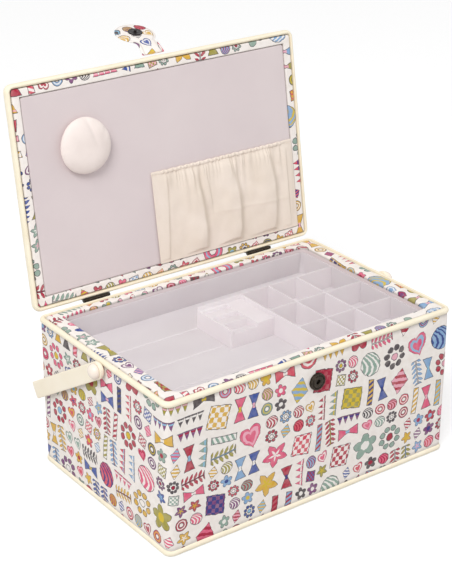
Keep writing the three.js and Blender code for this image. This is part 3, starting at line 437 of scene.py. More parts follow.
def printed_cotton():
    """Printed cotton poplin: small haberdashery shapes in bright inks with fine grey outlines on a chalky
    ground. Squares of the repeat hold one large shape, two long ones or four small ones. Each shape is a
    field that is negative inside it, and a second field that is positive on its accent."""
    material, node = blank("printed_cotton_poplin")
    repeat, drift_length, drift_reach, hand_length, wash_length, thread = 33.0, 100, 16.0, 4, 7, 0.9
    place = node("TexCoord").outputs["UV"]

    # Millimetres on the cloth, drifting a little so that the rows aren't ruled
    drift = node("TexNoise", {"Vector": place, "Scale": 1 / (drift_length * MM), "Detail": 1.0})
    in_mm = node("VectorMath", place, (1 / MM, 1 / MM, 0.0), operation="MULTIPLY")
    spot = node("VectorMath", drift.outputs["Color"], (drift_reach, drift_reach, 0.0), in_mm,
                operation="MULTIPLY_ADD")
    spot_x, spot_y = node("SeparateXYZ", spot).outputs[:2]
    row = node("FLOOR", ("DIVIDE", spot_y, repeat))
    slide = node("TexWhiteNoise", {"W": row}, noise_dimensions="1D")
    along = node("MULTIPLY_ADD", slide, repeat, spot_x)
    square = ("CombineXYZ", ("FLOOR", ("DIVIDE", along, repeat)), row, 3.0)
    # The draw leaves a square whole below 0.32, and splits it into two rows below 0.45, into four below
    # 0.84 and into two columns above
    draw = node("TexWhiteNoise", {"Vector": square})
    split_x = node("GREATER_THAN", draw, 0.45)
    split_y = node("COMPARE", draw, 0.58, 0.26)
    size_x, size_y = (node("DIVIDE", repeat, ("ADD", split, 1.0)) for split in (split_x, split_y))
    share_x, share_y = node("DIVIDE", along, size_x), node("DIVIDE", spot_y, size_y)
    which = ("MULTIPLY_ADD", split_x, 5.0, split_y)
    cell = ("CombineXYZ", ("FLOOR", share_x), ("FLOOR", share_y), which)
    chance = node("TexWhiteNoise", {"Vector": cell})
    chances = node("SeparateColor", chance.outputs["Color"]).outputs

    # Place in the shape's own units: turned a little, long shapes along their cell, edges drawn by hand
    local = ("CombineXYZ", *[("MULTIPLY", ("SUBTRACT", ("FRACT", share), 0.5), size)
                             for share, size in ((share_x, size_x), (share_y, size_y))])
    long_shape = node("ABSOLUTE", ("SUBTRACT", split_x, split_y))
    tilt = ("MULTIPLY", ("SUBTRACT", chances[0], 0.5), ("MULTIPLY_ADD", long_shape, -0.7, 0.95))
    turn = ("MULTIPLY_ADD", ("MULTIPLY", split_x, long_shape), math.pi / 2, tilt)
    turned = node("VectorRotate", {"Vector": local, "Angle": turn}, rotation_type="Z_AXIS")
    scale = node("DIVIDE", 2.12, ("MINIMUM", size_x, size_y))
    scaled = node("VectorMath", turned, {"Scale": scale}, operation="SCALE")
    hand = node("TexNoise", {"Vector": place, "Scale": 1 / (hand_length * MM), "Detail": 1.0})
    drawn = node("VectorMath", hand.outputs["Color"], (0.16, 0.16, 0.0), scaled, operation="MULTIPLY_ADD")
    drawn = node("VectorMath", drawn, (0.08, 0.08, 0.0), operation="SUBTRACT")
    x, y = node("SeparateXYZ", drawn).outputs[:2]
    wide, high = node("ABSOLUTE", x), node("ABSOLUTE", y)
    reach = node("SQRT", ("MULTIPLY_ADD", x, x, ("MULTIPLY", y, y)))
    angle = node("ARCTAN2", y, x)

    # Which shape: eight round ones, or four long ones
    kinds = ("MULTIPLY_ADD", long_shape, -4.0, 8.0)
    pick = node("MULTIPLY_ADD", long_shape, 8.0, ("FLOOR", ("MULTIPLY", chance, kinds)))

    # Daisy: five petals round a middle
    petals = ("ABSOLUTE", ("COSINE", ("MULTIPLY", angle, 2.5)))
    daisy = ("SUBTRACT", reach, ("MULTIPLY_ADD", petals, 0.42, 0.52)), ("SUBTRACT", 0.33, reach)
    # Heart with a lighter one inside
    lobe = node("MULTIPLY_ADD", ("SQRT", wide), -0.72, ("MULTIPLY_ADD", y, 1.15, 0.3))
    inner = node("MULTIPLY_ADD", x, x, ("MULTIPLY_ADD", lobe, lobe, -0.68))
    heart = inner, ("SUBTRACT", 0.12, ("ABSOLUTE", ("ADD", inner, 0.38)))
    # Star: its outline falls and climbs evenly between five points
    to_point = ("PINGPONG", ("ADD", angle, 4.398), math.pi / 5)
    star_reach = node("ADD", reach, ("MULTIPLY", to_point, 0.82))
    star = ("SUBTRACT", star_reach, 0.98), ("SUBTRACT", 0.5, star_reach)
    # Wreath: eight berries and one in the middle
    turn_left = node("SUBTRACT", ("FLOORED_MODULO", angle, math.pi / 4), math.pi / 8)
    berry_x = node("MULTIPLY_ADD", reach, ("COSINE", turn_left), -0.7)
    berry_y = node("MULTIPLY", reach, ("SINE", turn_left))
    berry = ("SQRT", ("MULTIPLY_ADD", berry_x, berry_x, ("MULTIPLY", berry_y, berry_y)))
    wreath = (("MINIMUM", ("SUBTRACT", berry, 0.22), ("SUBTRACT", reach, 0.27)),
              ("SUBTRACT", 0.3, reach))
    # Ball of wool: a disc with curved strands
    strand = ("MULTIPLY_ADD", high, high, ("MULTIPLY_ADD", y, 0.6, x))
    wool = ("SUBTRACT", reach, 0.86), ("SUBTRACT", ("SINE", ("MULTIPLY", strand, 13.0)), 0.25)
    # Checked patch
    patch = (("SUBTRACT", ("MAXIMUM", wide, high), 0.76),
             ("MULTIPLY", *[("SINE", ("MULTIPLY", way, 10.0)) for way in (x, y)]))
    # Striped diamond
    diamond = (("MULTIPLY_ADD", wide, 1.25, ("SUBTRACT", high, 0.95)),
               ("SINE", ("MULTIPLY", y, 14.0)))
    # Ring with a fine inner line
    middle = node("ABSOLUTE", ("SUBTRACT", reach, 0.58))
    ring = ("SUBTRACT", middle, 0.26), ("SUBTRACT", 0.07, middle)
    # Sprig: pairs of leaves on a stem
    node_x = ("SUBTRACT", ("FLOORED_MODULO", x, 0.74), 0.2)
    leaf_x = node("DIVIDE", ("MULTIPLY_ADD", high, -0.55, node_x), 0.24)
    leaf_y = node("DIVIDE", ("SUBTRACT", high, 0.5), 0.42)
    leaf = ("MULTIPLY_ADD", leaf_x, leaf_x, ("MULTIPLY_ADD", leaf_y, leaf_y, -1.0))
    stem = node("SUBTRACT", high, 0.08)
    leaves = ("MINIMUM", stem, ("MULTIPLY", leaf, 0.3))
    sprig = ("MAXIMUM", leaves, ("SUBTRACT", wide, 1.85)), ("MULTIPLY", stem, -1.0)
    # Bow: two loops that widen from a knot
    loops = ("SUBTRACT", high, ("MULTIPLY_ADD", wide, 0.42, 0.16))
    bow = ("MAXIMUM", ("SUBTRACT", wide, 1.6), loops), ("SUBTRACT", 0.36, reach)
    # Bunting: a row of flags on a cord
    flag = ("ABSOLUTE", ("SUBTRACT", ("FLOORED_MODULO", x, 0.96), 0.48))
    point = ("SUBTRACT", ("MULTIPLY", flag, 2.6), ("ADD", y, 0.62))
    flags = ("MAXIMUM", ("SUBTRACT", y, 0.6), point)
    bunting = (("MAXIMUM", flags, ("SUBTRACT", wide, 1.92)),
               ("SUBTRACT", 0.12, ("ABSOLUTE", ("SUBTRACT", y, 0.28))))
    # Ribbon with slanting stripes
    ribbon = (("MAXIMUM", ("SUBTRACT", wide, 1.9), ("SUBTRACT", high, 0.44)),
              ("SINE", ("MULTIPLY_ADD", x, 8.0, ("MULTIPLY", y, 5.0))))

    body, accent = 0.0, 0.0
    shapes = (daisy, heart, star, wreath, wool, patch, diamond, ring, sprig, bow, bunting, ribbon)
    for number, (inside, detail) in enumerate(shapes):
        chosen = node("COMPARE", pick, float(number), 0.1)
        body = node("MULTIPLY_ADD", chosen, inside, body)
        accent = node("MULTIPLY_ADD", chosen, detail, accent)

    # Inks, washed on unevenly, with a grey pen line round each shape, and last a painted shade where the
    # cloth runs down into its stitching
    ink = node("ValToRGB", chances[1], blend="CONSTANT", stops=(
        (0.0, "#AE1438"), (0.18, "#DE4F78"), (0.31, "#D8A92E"), (0.43, "#7FA6CE"), (0.51, "#27499A"),
        (0.59, "#86A294"), (0.67, "#74296F"), (0.76, "#9C9230"), (0.83, "#3A3036"), (0.89, "#D23A54"),
    ))
    second = node("ValToRGB", chances[2], blend="CONSTANT", stops=(
        (0.0, "#F6F1EC"), (0.34, "#EFB3C2"), (0.48, "#D9BC34"), (0.62, "#8FBFDB"), (0.76, "#A8183A"),
        (0.86, "#2C3A80"), (0.94, "#F6F1EC"),
    ))
    filled = node("LESS_THAN", body, 0.0)
    detail = ("MULTIPLY", filled, ("GREATER_THAN", accent, 0.0))
    line = ("LESS_THAN", ("ABSOLUTE", body), ("MULTIPLY", scale, 0.42))
    wash = node("TexNoise", {"Vector": place, "Scale": 1 / (wash_length * MM), "Detail": 3.0})
    weight = ("MapRange", {"Value": wash, "From Min": 0.3, "From Max": 0.7, "To Min": 0.82, "To Max": 1.0})
    colour = node("ValToRGB", wash, stops=((0.3, "#EFE7E0"), (0.7, "#F7F1EC")))
    for share, over in (
        (("MULTIPLY", filled, weight), ink),
        (("MULTIPLY", detail, 0.92), second),
        (("MULTIPLY", line, 0.8), linear("#3E3942")),
        (node("Attribute", attribute_name="seam").outputs["Fac"], linear("#4A3A33")),
    ):
        colour = node("Mix", {0: share, 6: colour, 7: over}, data_type="RGBA").outputs[2]
    node("OutputMaterial", ("BsdfPrincipled", {
        "Base Color": colour, "Roughness": 0.72, "Specular IOR Level": 0.3,
        "Sheen Weight": 0.12, "Sheen Roughness": 0.4,
        "Normal": ("Bump", {"Strength": 0.12, "Distance": 0.3 * MM, "Height": woven(node, place, thread)}),
    }))
    return material


printed = printed_cotton()

# Case: printed cover, pinched under the piping at both ends
up = np.linspace(0, 1, 34)
tuck, pinch_depth, pinch_width, cover_bulge, cover_slack = 0.9, 0.7, 1.8, 0.5, 0.22
cover_z = cover_low[2] - tuck + up * (cover_high[2] - cover_low[2] + 2 * tuck)
pinch = hump(cover_z - cover_low[2], pinch_width) + hump(cover_z - cover_high[2], pinch_width)
cover_inset = cord_high[0] - cover_high[0] + pinch_depth * pinch - cover_bulge * np.sin(np.pi * up)
# Painted shade where the cover runs in under the piping at both ends
cover_painted_shade = 0.35 * hump(np.minimum(cover_z - cover_z[0], cover_z[-1] - cover_z), 0.9)
points, uv = carried(
    cord_high, case_radius, closed(cover_inset, cover_inset + cover_thickness), closed(cover_z, cover_z),
)
points += grid_normals(points) * (cover_slack * ripples(points, 70, 3))[..., None]
make_piece("outer_cover_cloth", [(points, uv, RING, closed(cover_painted_shade, cover_painted_shade)[:, None])], printed,
           "case", "outer_cover")


def piping(name, low, high, radius, width, seed, body, node):
    """Covered cord: an ellipse carried round the edge, its tape a little slack and twisted, with a groove
    where it is sewn down on its inner side, and painted shade in that groove."""
    angle = full_turn(28)
    rise = (low[2] + high[2]) / 2 + (high[2] - low[2]) / 2 * np.sin(angle)
    points, uv = carried(high, radius, width / 2 * (1 - np.cos(angle)), rise,
                         side_steps=(120, 80), corner_steps=10)
    groove_from_middle, groove_width, groove_depth, fine_slack, slow_slack = 0.85, 0.2, 0.3, 0.10, 0.18
    groove = hump(np.abs(angle - np.pi) - groove_from_middle, groove_width)[:, None]
    slack = fine_slack * ripples(points, 9, seed) + slow_slack * ripples(points, 40, seed + 1)
    points += grid_normals(points) * (slack - groove_depth * groove)[..., None]
    make_piece(name, [(points, uv, RING, 0.5 * groove)], piping_cotton, body, node)


piping("top_piping_cord", cord_low, cord_high, case_radius, cord_width, 11, "case", "top_piping")
piping("bottom_piping_cord", foot_low, foot_high, case_radius, cord_width, 12, "case", "bottom_piping")
piping("lid_piping_cord", lid_cord_low, lid_cord_high, lid_radius, lid_cord_width, 13, "lid", "lid_piping")

# Case: padded rim between the piping and the opening
across = np.linspace(0, 1, 17)
# Painted shade along both edges of a printed strip, where it runs down into its stitching
edge_painted_shade = hump(np.minimum(across, 1 - across), 0.05)
edge_painted_shade = closed(edge_painted_shade, edge_painted_shade)[:, None]


def crowned(power):
    """A low crown over the width, from 0 at both edges to 1: sqrt(1 - (2 across - 1)^power)."""
    return np.sqrt(1 - (2 * across - 1) ** power)


def between_edges(share, heights, outer, inner):
    """Rings from the inner outline to the outer one, each at its own height."""
    outer_loop, inner_loop = rounded_loop(*outer), rounded_loop(*inner)
    x, y = (i + (o - i) * share[:, None] for i, o in zip(inner_loop, outer_loop))
    return np.stack([x, y, np.broadcast_to(heights[:, None], x.shape)], -1)


rim_crown = 1.7
points = between_edges(
    closed(across, across), closed(rim_high[2] - rim_crown + rim_crown * crowned(6), rim_low[2]),
    (*rim_high[:2], rim_radius), (*opening_half, opening_radius),
)
face = points[:len(across)]
face[..., 2] += 0.12 * ripples(face, 45, 5)
make_piece("rim_cover_cloth", [(points, None, RING, 0.4 * edge_painted_shade)], printed, "case", "rim_cover")

# Case: satin lining on the walls and the floor
wall_up = np.linspace(wall_low[2], wall_high[2], 26)
points, uv = carried(
    wall_high, opening_radius + lining_thickness, closed(0 * wall_up, lining_thickness),
    closed(wall_up, wall_up),
)
make_piece("wall_lining_satin", [(points, uv, RING)], lining_satin, "case", "wall_lining")


def plate_grid(half, radius):
    """A grid over a rounded rectangle, closer at its edges: rows narrow where the corners round,
    and depth is each point's distance from the outline."""
    columns, rows = 90, 64
    t = np.sin(np.linspace(-1, 1, columns) * np.pi / 2)
    s = np.sin(np.linspace(-1, 1, rows) * np.pi / 2)
    y = np.broadcast_to((s * half[1])[:, None], (rows, columns))
    past = np.clip(np.abs(y) - (half[1] - radius), 0, radius)
    x = t[None, :] * (half[0] - radius + np.sqrt(np.maximum(radius ** 2 - past ** 2, 0)))
    qx, qy = np.abs(x) - (half[0] - radius), np.abs(y) - (half[1] - radius)
    outside = np.hypot(np.maximum(qx, 0), np.maximum(qy, 0)) + np.minimum(np.maximum(qx, qy), 0) - radius
    return x, y, np.maximum(-outside, 0)


def padded_plate(half, radius, low, high, edge, swell=0.0, wave=0.0, seam=0.0):
    """A plate whose upper face rises from its outline by a quarter ellipse, swells on to its middle and
    waves a little, closed by a flat lower face, with painted shade along the outline of its upper face.
    With high below low it is turned upside down."""
    swell_reach, wave_length, wave_seed = 70, 60, 21
    x, y, depth = plate_grid(half, radius)
    share = np.clip(depth / edge, 0, 1)
    flat = np.stack([x, y, np.full_like(x, low)], -1)
    rise = (high - low) * np.sqrt(1 - (1 - share) ** 2) + swell * smooth_step(depth, 0, swell_reach)
    rise += wave * ripples(flat, wave_length, wave_seed) * share
    top = np.stack([x, y, low + rise], -1)
    return [(top, None, SHEET, seam * hump(depth, 0.5)), (flat, None, SHEET)]


floor = padded_plate(floor_high, opening_radius, floor_low[2], floor_high[2], 3.0)
make_piece("floor_lining_satin", floor, lining_satin, "case", "floor_lining")

# Lid: printed inner band, raised between two pinched seams
band_inset = lid_cord_high[0] - band_high[0] + (lining_low[1] - band_low[1] - stitch_gap) * across
band_edge_thickness = 0.4
band_edge = band_high[2] - band_edge_thickness
band_face = band_edge - (band_edge - band_low[2]) * crowned(8)
band_insets, band_heights = closed(band_inset, band_inset), closed(band_face, band_high[2])
points, _ = carried(lid_cord_high, lid_radius, band_insets, band_heights)
face = points[:len(across)]
face[..., 2] += 0.10 * ripples(face, 40, 8)
# Painted shade along both pinched edges of the band
make_piece("lid_band_cloth", [(points, None, RING, 0.3 * edge_painted_shade)], printed, "lid", "lid_band")

# Lid: satin panel inside, and the padded cover outside
# Painted shade round the panel's outline, in the gap beside the band
panel = padded_plate(lining_high, lining_radius, lining_high[2], lining_face, 1.6, wave=0.05, seam=0.35)
make_piece("lid_lining_satin", panel, lining_satin, "lid", "lid_lining")
lid_swell, lid_edge = 2.0, 16.0
outside = padded_plate(
    lid_cover_high, lid_cover_radius, lid_cover_low[2], lid_cover_high[2] - lid_swell, lid_edge,
    swell=lid_swell, wave=0.3,
)
make_piece("lid_cover_cloth", outside, printed, "lid", "lid_cover")

# Pincushion: a stuffed dome, tucked in under its rim, with pulls from the seam and creases near its top
tuck_degrees, cushion_inset, cushion_shift = 40, 1.0, np.array([-2.0, 0.0])
crease_depth, pull_depth, wave_depth = 1.1, 0.35, 0.8
turn_angle, rise_angle = np.meshgrid(full_turn(120), np.radians(np.linspace(-tuck_degrees, 90, 46)))
under = math.sin(math.radians(tuck_degrees))
swell = (np.sin(rise_angle) + under) / (1 + under)
pulls = 0.5 * np.sin(23 * turn_angle + 1.3 * np.sin(3 * turn_angle))
pulls += 0.5 * np.sin(31 * turn_angle + 2 * np.sin(2 * turn_angle + 1))
pincushion_radius = (pincushion_high[0] - pincushion_low[0]) / 2 - cushion_inset
pincushion_height = lining_face - pincushion_low[2] - stitch_gap
radius = pincushion_radius * np.cos(rise_angle) * (1 + 0.02 * np.sin(3 * turn_angle + 0.6) * (1 - swell))
radius += pull_depth * pulls * hump(swell, 0.28)
x, y = radius * np.cos(turn_angle), radius * np.sin(turn_angle)
crease = hump(x - 10 - 0.25 * y, 3.2) * smooth_step(-y, -8, 12)
crease += 0.7 * hump(x - 17 + 0.5 * y, 3.6) * smooth_step(-y, 0, 16)
points = np.stack([x, y, -pincushion_height * swell], -1)
points[..., 2] += crease_depth * crease + wave_depth * ripples(points, 26, 41) * swell
points[-1, :, :] = points[-1].mean(0)
points[..., :2] += (pincushion_low[:2] + pincushion_high[:2]) / 2 + cushion_shift
points[..., 2] += lining_face - 0.1
base = np.stack([points[0], np.broadcast_to(points[0].mean(0), points[0].shape)])
# Painted shadow where the dome tucks in under its rim
pincushion = make_piece(
    "pincushion_pad", [(points, None, ROUND, 0.8 * hump(swell, 0.06)), (base, None, ROUND)],
    cushion_satin, "lid", "pincushion",
)

# Pocket: cotton gathered on an elastic, hanging in folds, with a flat hem on its left
pocket_width, pocket_height = pocket_high[0] - pocket_low[0], pocket_high[1] - elastic_low[1]
cloth_thickness, behind_cloth, room_on_rim, room_on_tray = 0.8, 0.1, 1.1, 7.6
share_x, share_y = np.meshgrid(np.linspace(0, 1, 300), np.linspace(0, 1, 96))


def fold(places, rise_width, fall_width, size):
    """A fold along a bent line, a parabola through its places at the bottom, middle and top of the pocket.
    It swells slowly up to the line from the left and falls steeply past it."""
    past = share_x - np.polyval(np.polyfit((0.0, 0.5, 1.0), places, 2), share_y)
    return size * hump(past, np.where(past < 0, rise_width, fall_width))


# Four long folds and a short one, fullest at half height, and the flat hem at the left
full = 0.3 + 0.7 * np.sin(np.pi * share_y ** 0.85).clip(0, 1) ** 0.7
folds = fold((0.303, 0.308, 0.256), 0.10, 0.032, 6.0) + fold((0.538, 0.563, 0.512), 0.11, 0.034, 6.8)
folds += fold((0.800, 0.829, 0.792), 0.12, 0.032, 6.4) + fold((0.933, 0.956, 0.966), 0.06, 0.02, 1.8)
folds += fold((0.37, 0.384, 0.345), 0.03, 0.008, 1.3) * smooth_step(share_y, 0.3, 0.7)
hem = fold((0.053, 0.080, 0.092), 0.05, 0.01, 1.3)
flat_place = np.stack([share_x * pocket_width, share_y * pocket_height, 0 * share_x], -1)
loose = smooth_step(share_x, 0.07, 0.11) * (1 - smooth_step(share_x, 0.92, 0.97))
beat = 2 * np.pi * (37 * share_x + 0.4 * np.sin(10 * np.pi * share_x) + 0.25 * np.sin(22 * np.pi * share_x))
broad = 2 * np.pi * (13 * share_x + 0.5 * np.sin(6 * np.pi * share_x + 1))
# Slack cloth between them, small gathers and broad ones under the elastic, and a crease that slants across
swell = 0.7 + folds * full + hem
swell += loose * full * (0.9 * ripples(flat_place, 42, 51) + 0.35 * ripples(flat_place, 16, 52))
swell += loose * 0.5 * np.sin(beat) * hump(1 - share_y, 0.13)
swell += loose * 0.7 * np.sin(broad) * hump(1 - share_y, 0.3)
swell += loose * 0.4 * hump(share_y - 0.46 + 0.09 * share_x, 0.02) * smooth_step(share_x, 0.2, 0.6)
# Drawn in where the elastic holds it
swell = np.maximum(swell * (1 - 0.6 * hump(1 - share_y, 0.05)), 0.15)
pocket_x = pocket_low[0] + pocket_width * share_x
pocket_y = pocket_high[1] - (pocket_high[1] - elastic_high[1] + 0.4) * share_y
# With the lid shut the folds have less room over the rim than over the tray
over_opening = np.minimum(opening_half[0] - pocket_x, opening_half[1] - pocket_y)
swell = np.minimum(swell, room_on_rim + (room_on_tray - room_on_rim) * smooth_step(over_opening, 0.5, 9))
# Painted shade on the cloth where it falls steeply past each fold
fall = np.clip(-np.gradient(swell, axis=1) / np.gradient(pocket_x, axis=1), 0, 0.8)
front = np.stack([pocket_x, pocket_y, pocket_high[2] - behind_cloth - cloth_thickness - swell], -1)
back = front + np.array([0, 0, cloth_thickness])
grids = [(front, flat_place[..., :2], SHEET, 0.35 * fall), (back, flat_place[..., :2], SHEET)]
grids += [(np.stack([front[edge], back[edge]]), None, SHEET) for edge in (np.s_[:, 0], np.s_[:, -1], 0, -1)]
pocket = make_piece("pocket_cloth", grids, pocket_cotton, "lid", "pocket", merge=0.01)

# Elastic casing along the pocket's mouth: a narrow tube in small even ruffles
turn_angle, share_x = np.meshgrid(full_turn(14), np.linspace(0, 1, 420), indexing="ij")
beat = 2 * np.pi * (40 * share_x + 0.35 * np.sin(8 * np.pi * share_x))
loose = smooth_step(share_x, 0.04, 0.07) * np.clip((0.955 - share_x) / 0.06, 0, 1)
elastic_half = (elastic_high[1] - elastic_low[1]) / 2
points = np.stack([
    pocket_low[0] + pocket_width * share_x + 0.3 * np.cos(beat) * loose,
    elastic_low[1] + elastic_half * (1 + np.cos(turn_angle)) + 0.35 * np.sin(beat * 0.5) * loose,
    elastic_high[2] + 0.1 - (0.75 + 0.5 * loose) * (1 + np.sin(turn_angle)) - 0.35 * loose
    - 0.45 * np.sin(beat) * loose * (np.sin(turn_angle) > -0.2),
], -1)
elastic_uv = np.stack([share_x * 235, turn_angle * 2.0], -1)
elastic_uv = np.concatenate([elastic_uv, elastic_uv[:1] + np.array([0, 4 * np.pi])], 0)
grids = [(points, elastic_uv, SLEEVE)]
for end in (points[:, 0], points[:, -1]):
    grids.append((np.stack([end, np.broadcast_to(end.mean(0), end.shape)]), None, ROUND))
make_piece("pocket_elastic_casing", grids, pocket_cotton, "lid", "pocket_elastic")

# Strap: a padded tab that widens from a short neck to a round head, stitched near its edge
strap_root = np.array([0.0, *joint_place("strap_fold")])
strap_bend = np.array([0.0, *joint_place("strap_head_bend")])
neck_length = np.linalg.norm(strap_bend - strap_root)
neck_way = (strap_bend - strap_root) / neck_length
head_angle = math.radians(11.1)
head_way = np.array([0.0, math.cos(head_angle), math.sin(head_angle)])
head_up = np.cross((1, 0, 0), head_way)
head_radius, head_reach, strap_half_thickness = 22.5, 26.0, 1.5
neck_root_half, neck_taper, bend_reach, blend_reach = 14.0, 1.5, 6, 5
stitch_inset, stitch_depth, strap_padding = 2.8, 0.6, 0.75
head_centre = neck_length + head_reach
strap_end = head_centre + head_radius
along = np.concatenate([
    np.linspace(0, 1.4, 5), np.linspace(1.8, strap_end - 2.0, 76),
    strap_end - 2.0 * (1 - np.linspace(0, 1, 12)[1:]) ** 2,
])
# The spine follows the neck, turns smoothly about the bend and goes on along the head
bend = smooth_step(along, neck_length - bend_reach, neck_length + bend_reach)[:, None]
way = neck_way * (1 - bend) + head_way * bend
way /= np.linalg.norm(way, axis=1)[:, None]
spine = strap_root + np.cumsum(way * np.diff(along, prepend=0.0)[:, None], 0)
neck_half = neck_root_half - neck_taper * np.clip(along / neck_length, 0, 1)
head_half = np.sqrt(np.maximum(head_radius ** 2 - (along - head_centre) ** 2, 0))
strap_half = np.where(along > head_centre, head_half, (neck_half ** 6 + head_half ** 6) ** (1 / 6))
section = full_turn(64)
# Its section is a blunted oval, thinner along the stitches and towards both ends
side, thick = blunted(np.cos(section), 0.75), blunted(np.sin(section), 0.55)
inset = np.minimum(strap_half[:, None] * (1 - np.abs(side)[None, :]), (strap_end - along)[:, None])
stitch = hump(inset - stitch_inset, 0.7)
puffed = strap_half_thickness - 0.35 + strap_padding * smooth_step(inset, 0, 7) - stitch_depth * stitch
end_round = np.sqrt(np.clip(1 - (1 - np.clip((strap_end - along) / 2.5, 0, 1)) ** 2, 0, 1))
end_round *= np.sqrt(np.clip(along / 1.4, 0, 1))
height = puffed * end_round[:, None] * thick[None, :]
outward = np.stack([0 * along, -way[:, 2], way[:, 1]], -1)
points = spine[:, None, :] + height[..., None] * outward[:, None, :]
points[..., 0] += strap_half[:, None] * side[None, :]
points[0], points[-1] = points[0].mean(0), points[-1].mean(0)
strap_uv = np.stack([strap_half[:, None] * side, along[:, None] + 0 * side], -1)
# Painted shade along the stitched groove near its edge
strap = make_piece("strap_tab", [(points, strap_uv, ROUND, 0.25 * stitch)], printed, None,
                   "strap_neck", "strap_head")
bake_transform(strap)

# Bail: a flat strip with rounded edges bent into a U, its ends round about the pivots, a dimple by each
strip_half = (bail_high[2] - bail_low[2]) / 2
arm_x = bail_high[0] - bail_thickness / 2
cross_y = bail_high[1] - pivot[0] - bail_thickness / 2
dimple, dimple_radius, dimple_depth = 15.0, 1.9, 1.1
arm_stops = np.concatenate([
    np.linspace(-strip_half, -strip_half + 1, 6), np.linspace(-strip_half + 1.5, dimple - 2.1, 40),
    np.linspace(dimple - dimple_radius, dimple + dimple_radius, 16),
    np.linspace(dimple + 3, cross_y - bail_radius, 40),
])
arc = np.linspace(np.pi, np.pi / 2, 26)[1:-1]
cross_stops = np.linspace(bail_radius - arm_x, 0, 50)
# Each stop is its place x, y and the strip's outward direction x, y, along an arm, a bend and half the bar
left_path = np.concatenate([np.stack(np.broadcast_arrays(*stops), -1) for stops in (
    (-arm_x, arm_stops, -1.0, 0.0),
    (bail_radius * (1 + np.cos(arc)) - arm_x, cross_y - bail_radius * (1 - np.sin(arc)), np.cos(arc),
     np.sin(arc)),
    (cross_stops, cross_y, 0.0, 1.0),
)])
path = np.concatenate([left_path, left_path[::-1][1:] * np.array([-1, 1, -1, 1])])
# The strip narrows to a half circle past each pivot, and dips into a dimple on its outer face
end_half = np.sqrt(np.clip(strip_half ** 2 - np.minimum(path[:, 1], 0) ** 2, 0, None))
section = full_turn(72)
flat_out, flat_wide = blunted(np.cos(section), 0.38), blunted(np.sin(section), 0.30)
out = bail_thickness / 2 * flat_out[None, :] * np.ones((len(path), 1))
wide = end_half[:, None] * flat_wide[None, :]
on_face = (np.abs(path[:, 3:4]) < 1e-6) & (flat_out[None, :] > 0.85)
from_dimple = np.hypot(path[:, 1:2] - dimple, wide)
out -= dimple_depth * on_face * (1 - smooth_step(from_dimple, 0.9, dimple_radius))
points = np.stack([path[:, 0:1] + out * path[:, 2:3], path[:, 1:2] + out * path[:, 3:4], wide], -1)
points = turned_about_x(points + np.array([0, *pivot]), -bail_droop, *pivot)
make_piece("handle_bail_strip", [(points, None, ROUND)], cream_plastic, "handle", "handle_bail", sharp=50)


def turned(profile, right, forward, origin, steps=48):
    """The grid of a turned piece: each point of the profile is (radius, height), and its axis stands at the
    origin along the cross product of right and forward."""
    radius, height = np.array(profile, float).T[..., None]
    angle = full_turn(steps)
    points = np.stack([radius * np.cos(angle), radius * np.sin(angle), height * np.ones(steps)], -1)
    axes = np.array([right, forward, np.cross(right, forward)], float)
    return points @ axes + np.asarray(origin, float), None, ROUND


# Snap: ring socket on the front of the case, stud and cap on the strap
quarter = np.linspace(0, np.pi / 2, 6)
socket_radius, socket_round = socket_high[0], 0.9
socket_profile = [
    (0.0, 0.3), (2.7, 0.3), (2.7, 2.7), (2.9, 3.0), (3.3, 3.2), (5.9, 3.2), (6.4, 3.05), (6.8, 2.4),
    (7.2, 2.4), (7.5, 3.0), (8.2, 3.15),
    *zip(socket_radius - socket_round * (1 - np.sin(quarter)), 2.2 + socket_round * np.cos(quarter)),
    (socket_radius, 0.0), (0.0, 0.0),
]
socket_place = (0, cover_low[1] - stitch_gap, (socket_low[2] + socket_high[2]) / 2)
make_piece("snap_socket_ring", [turned(socket_profile, (1, 0, 0), (0, 0, 1), socket_place)], dark_bronze,
           "case", "snap_socket", sharp=35)
stud_profile = [
    (0.0, 3.2), (1.2, 3.15), (1.7, 2.8), (1.8, 2.2), (1.5, 1.7), (2.4, 1.25), (2.9, 1.05), (6.6, 1.15),
    (7.3, 1.35), (7.9, 1.2), (8.2, 0.7), (8.2, 0.0), (0.0, 0.0),
]
snap_cap_profile = [(0.0, 1.4), (3.0, 1.3), (5.2, 1.0), (6.5, 0.5), (7.0, 0.0), (0.0, 0.0)]
stud_at, strap_face = strap_bend + head_way * head_reach, head_up * strap_half_thickness
stud = turned(stud_profile, (1, 0, 0), head_way, stud_at + strap_face)
snap_cap = turned(snap_cap_profile, (1, 0, 0), -head_way, stud_at - strap_face)
make_piece("snap_stud_disc", [stud], black_metal, "strap_head", "snap_stud", sharp=35)
make_piece("snap_cap_dome", [snap_cap], black_metal, "strap_head", "snap_cap", sharp=35)

# Bail caps: domes on a short skirt
dome_angle = np.linspace(0, np.pi / 2, 18)
cap_radius, cap_skirt, cap_round = (cap_high[2] - cap_low[2]) / 2, 1.0, 0.3
cap_rise = cap_high[0] - cap_low[0] - cap_skirt
dome = [(0.0, 0.0), (cap_radius - cap_round, 0.0), (cap_radius, cap_round),
        *zip(cap_radius * np.cos(dome_angle).clip(0, 1) ** 0.85, cap_skirt + cap_rise * np.sin(dome_angle))]
dome[-1] = (0.0, cap_skirt + cap_rise)
for side_name, sign in (("left", -1), ("right", 1)):
    cap = turned(dome, (0, 0, -sign), (0, 1, 0), (sign * cap_low[0], *pivot))
    make_piece(side_name + "_cap_dome", [cap], cap_plastic, "case", side_name + "_handle_cap", sharp=50)


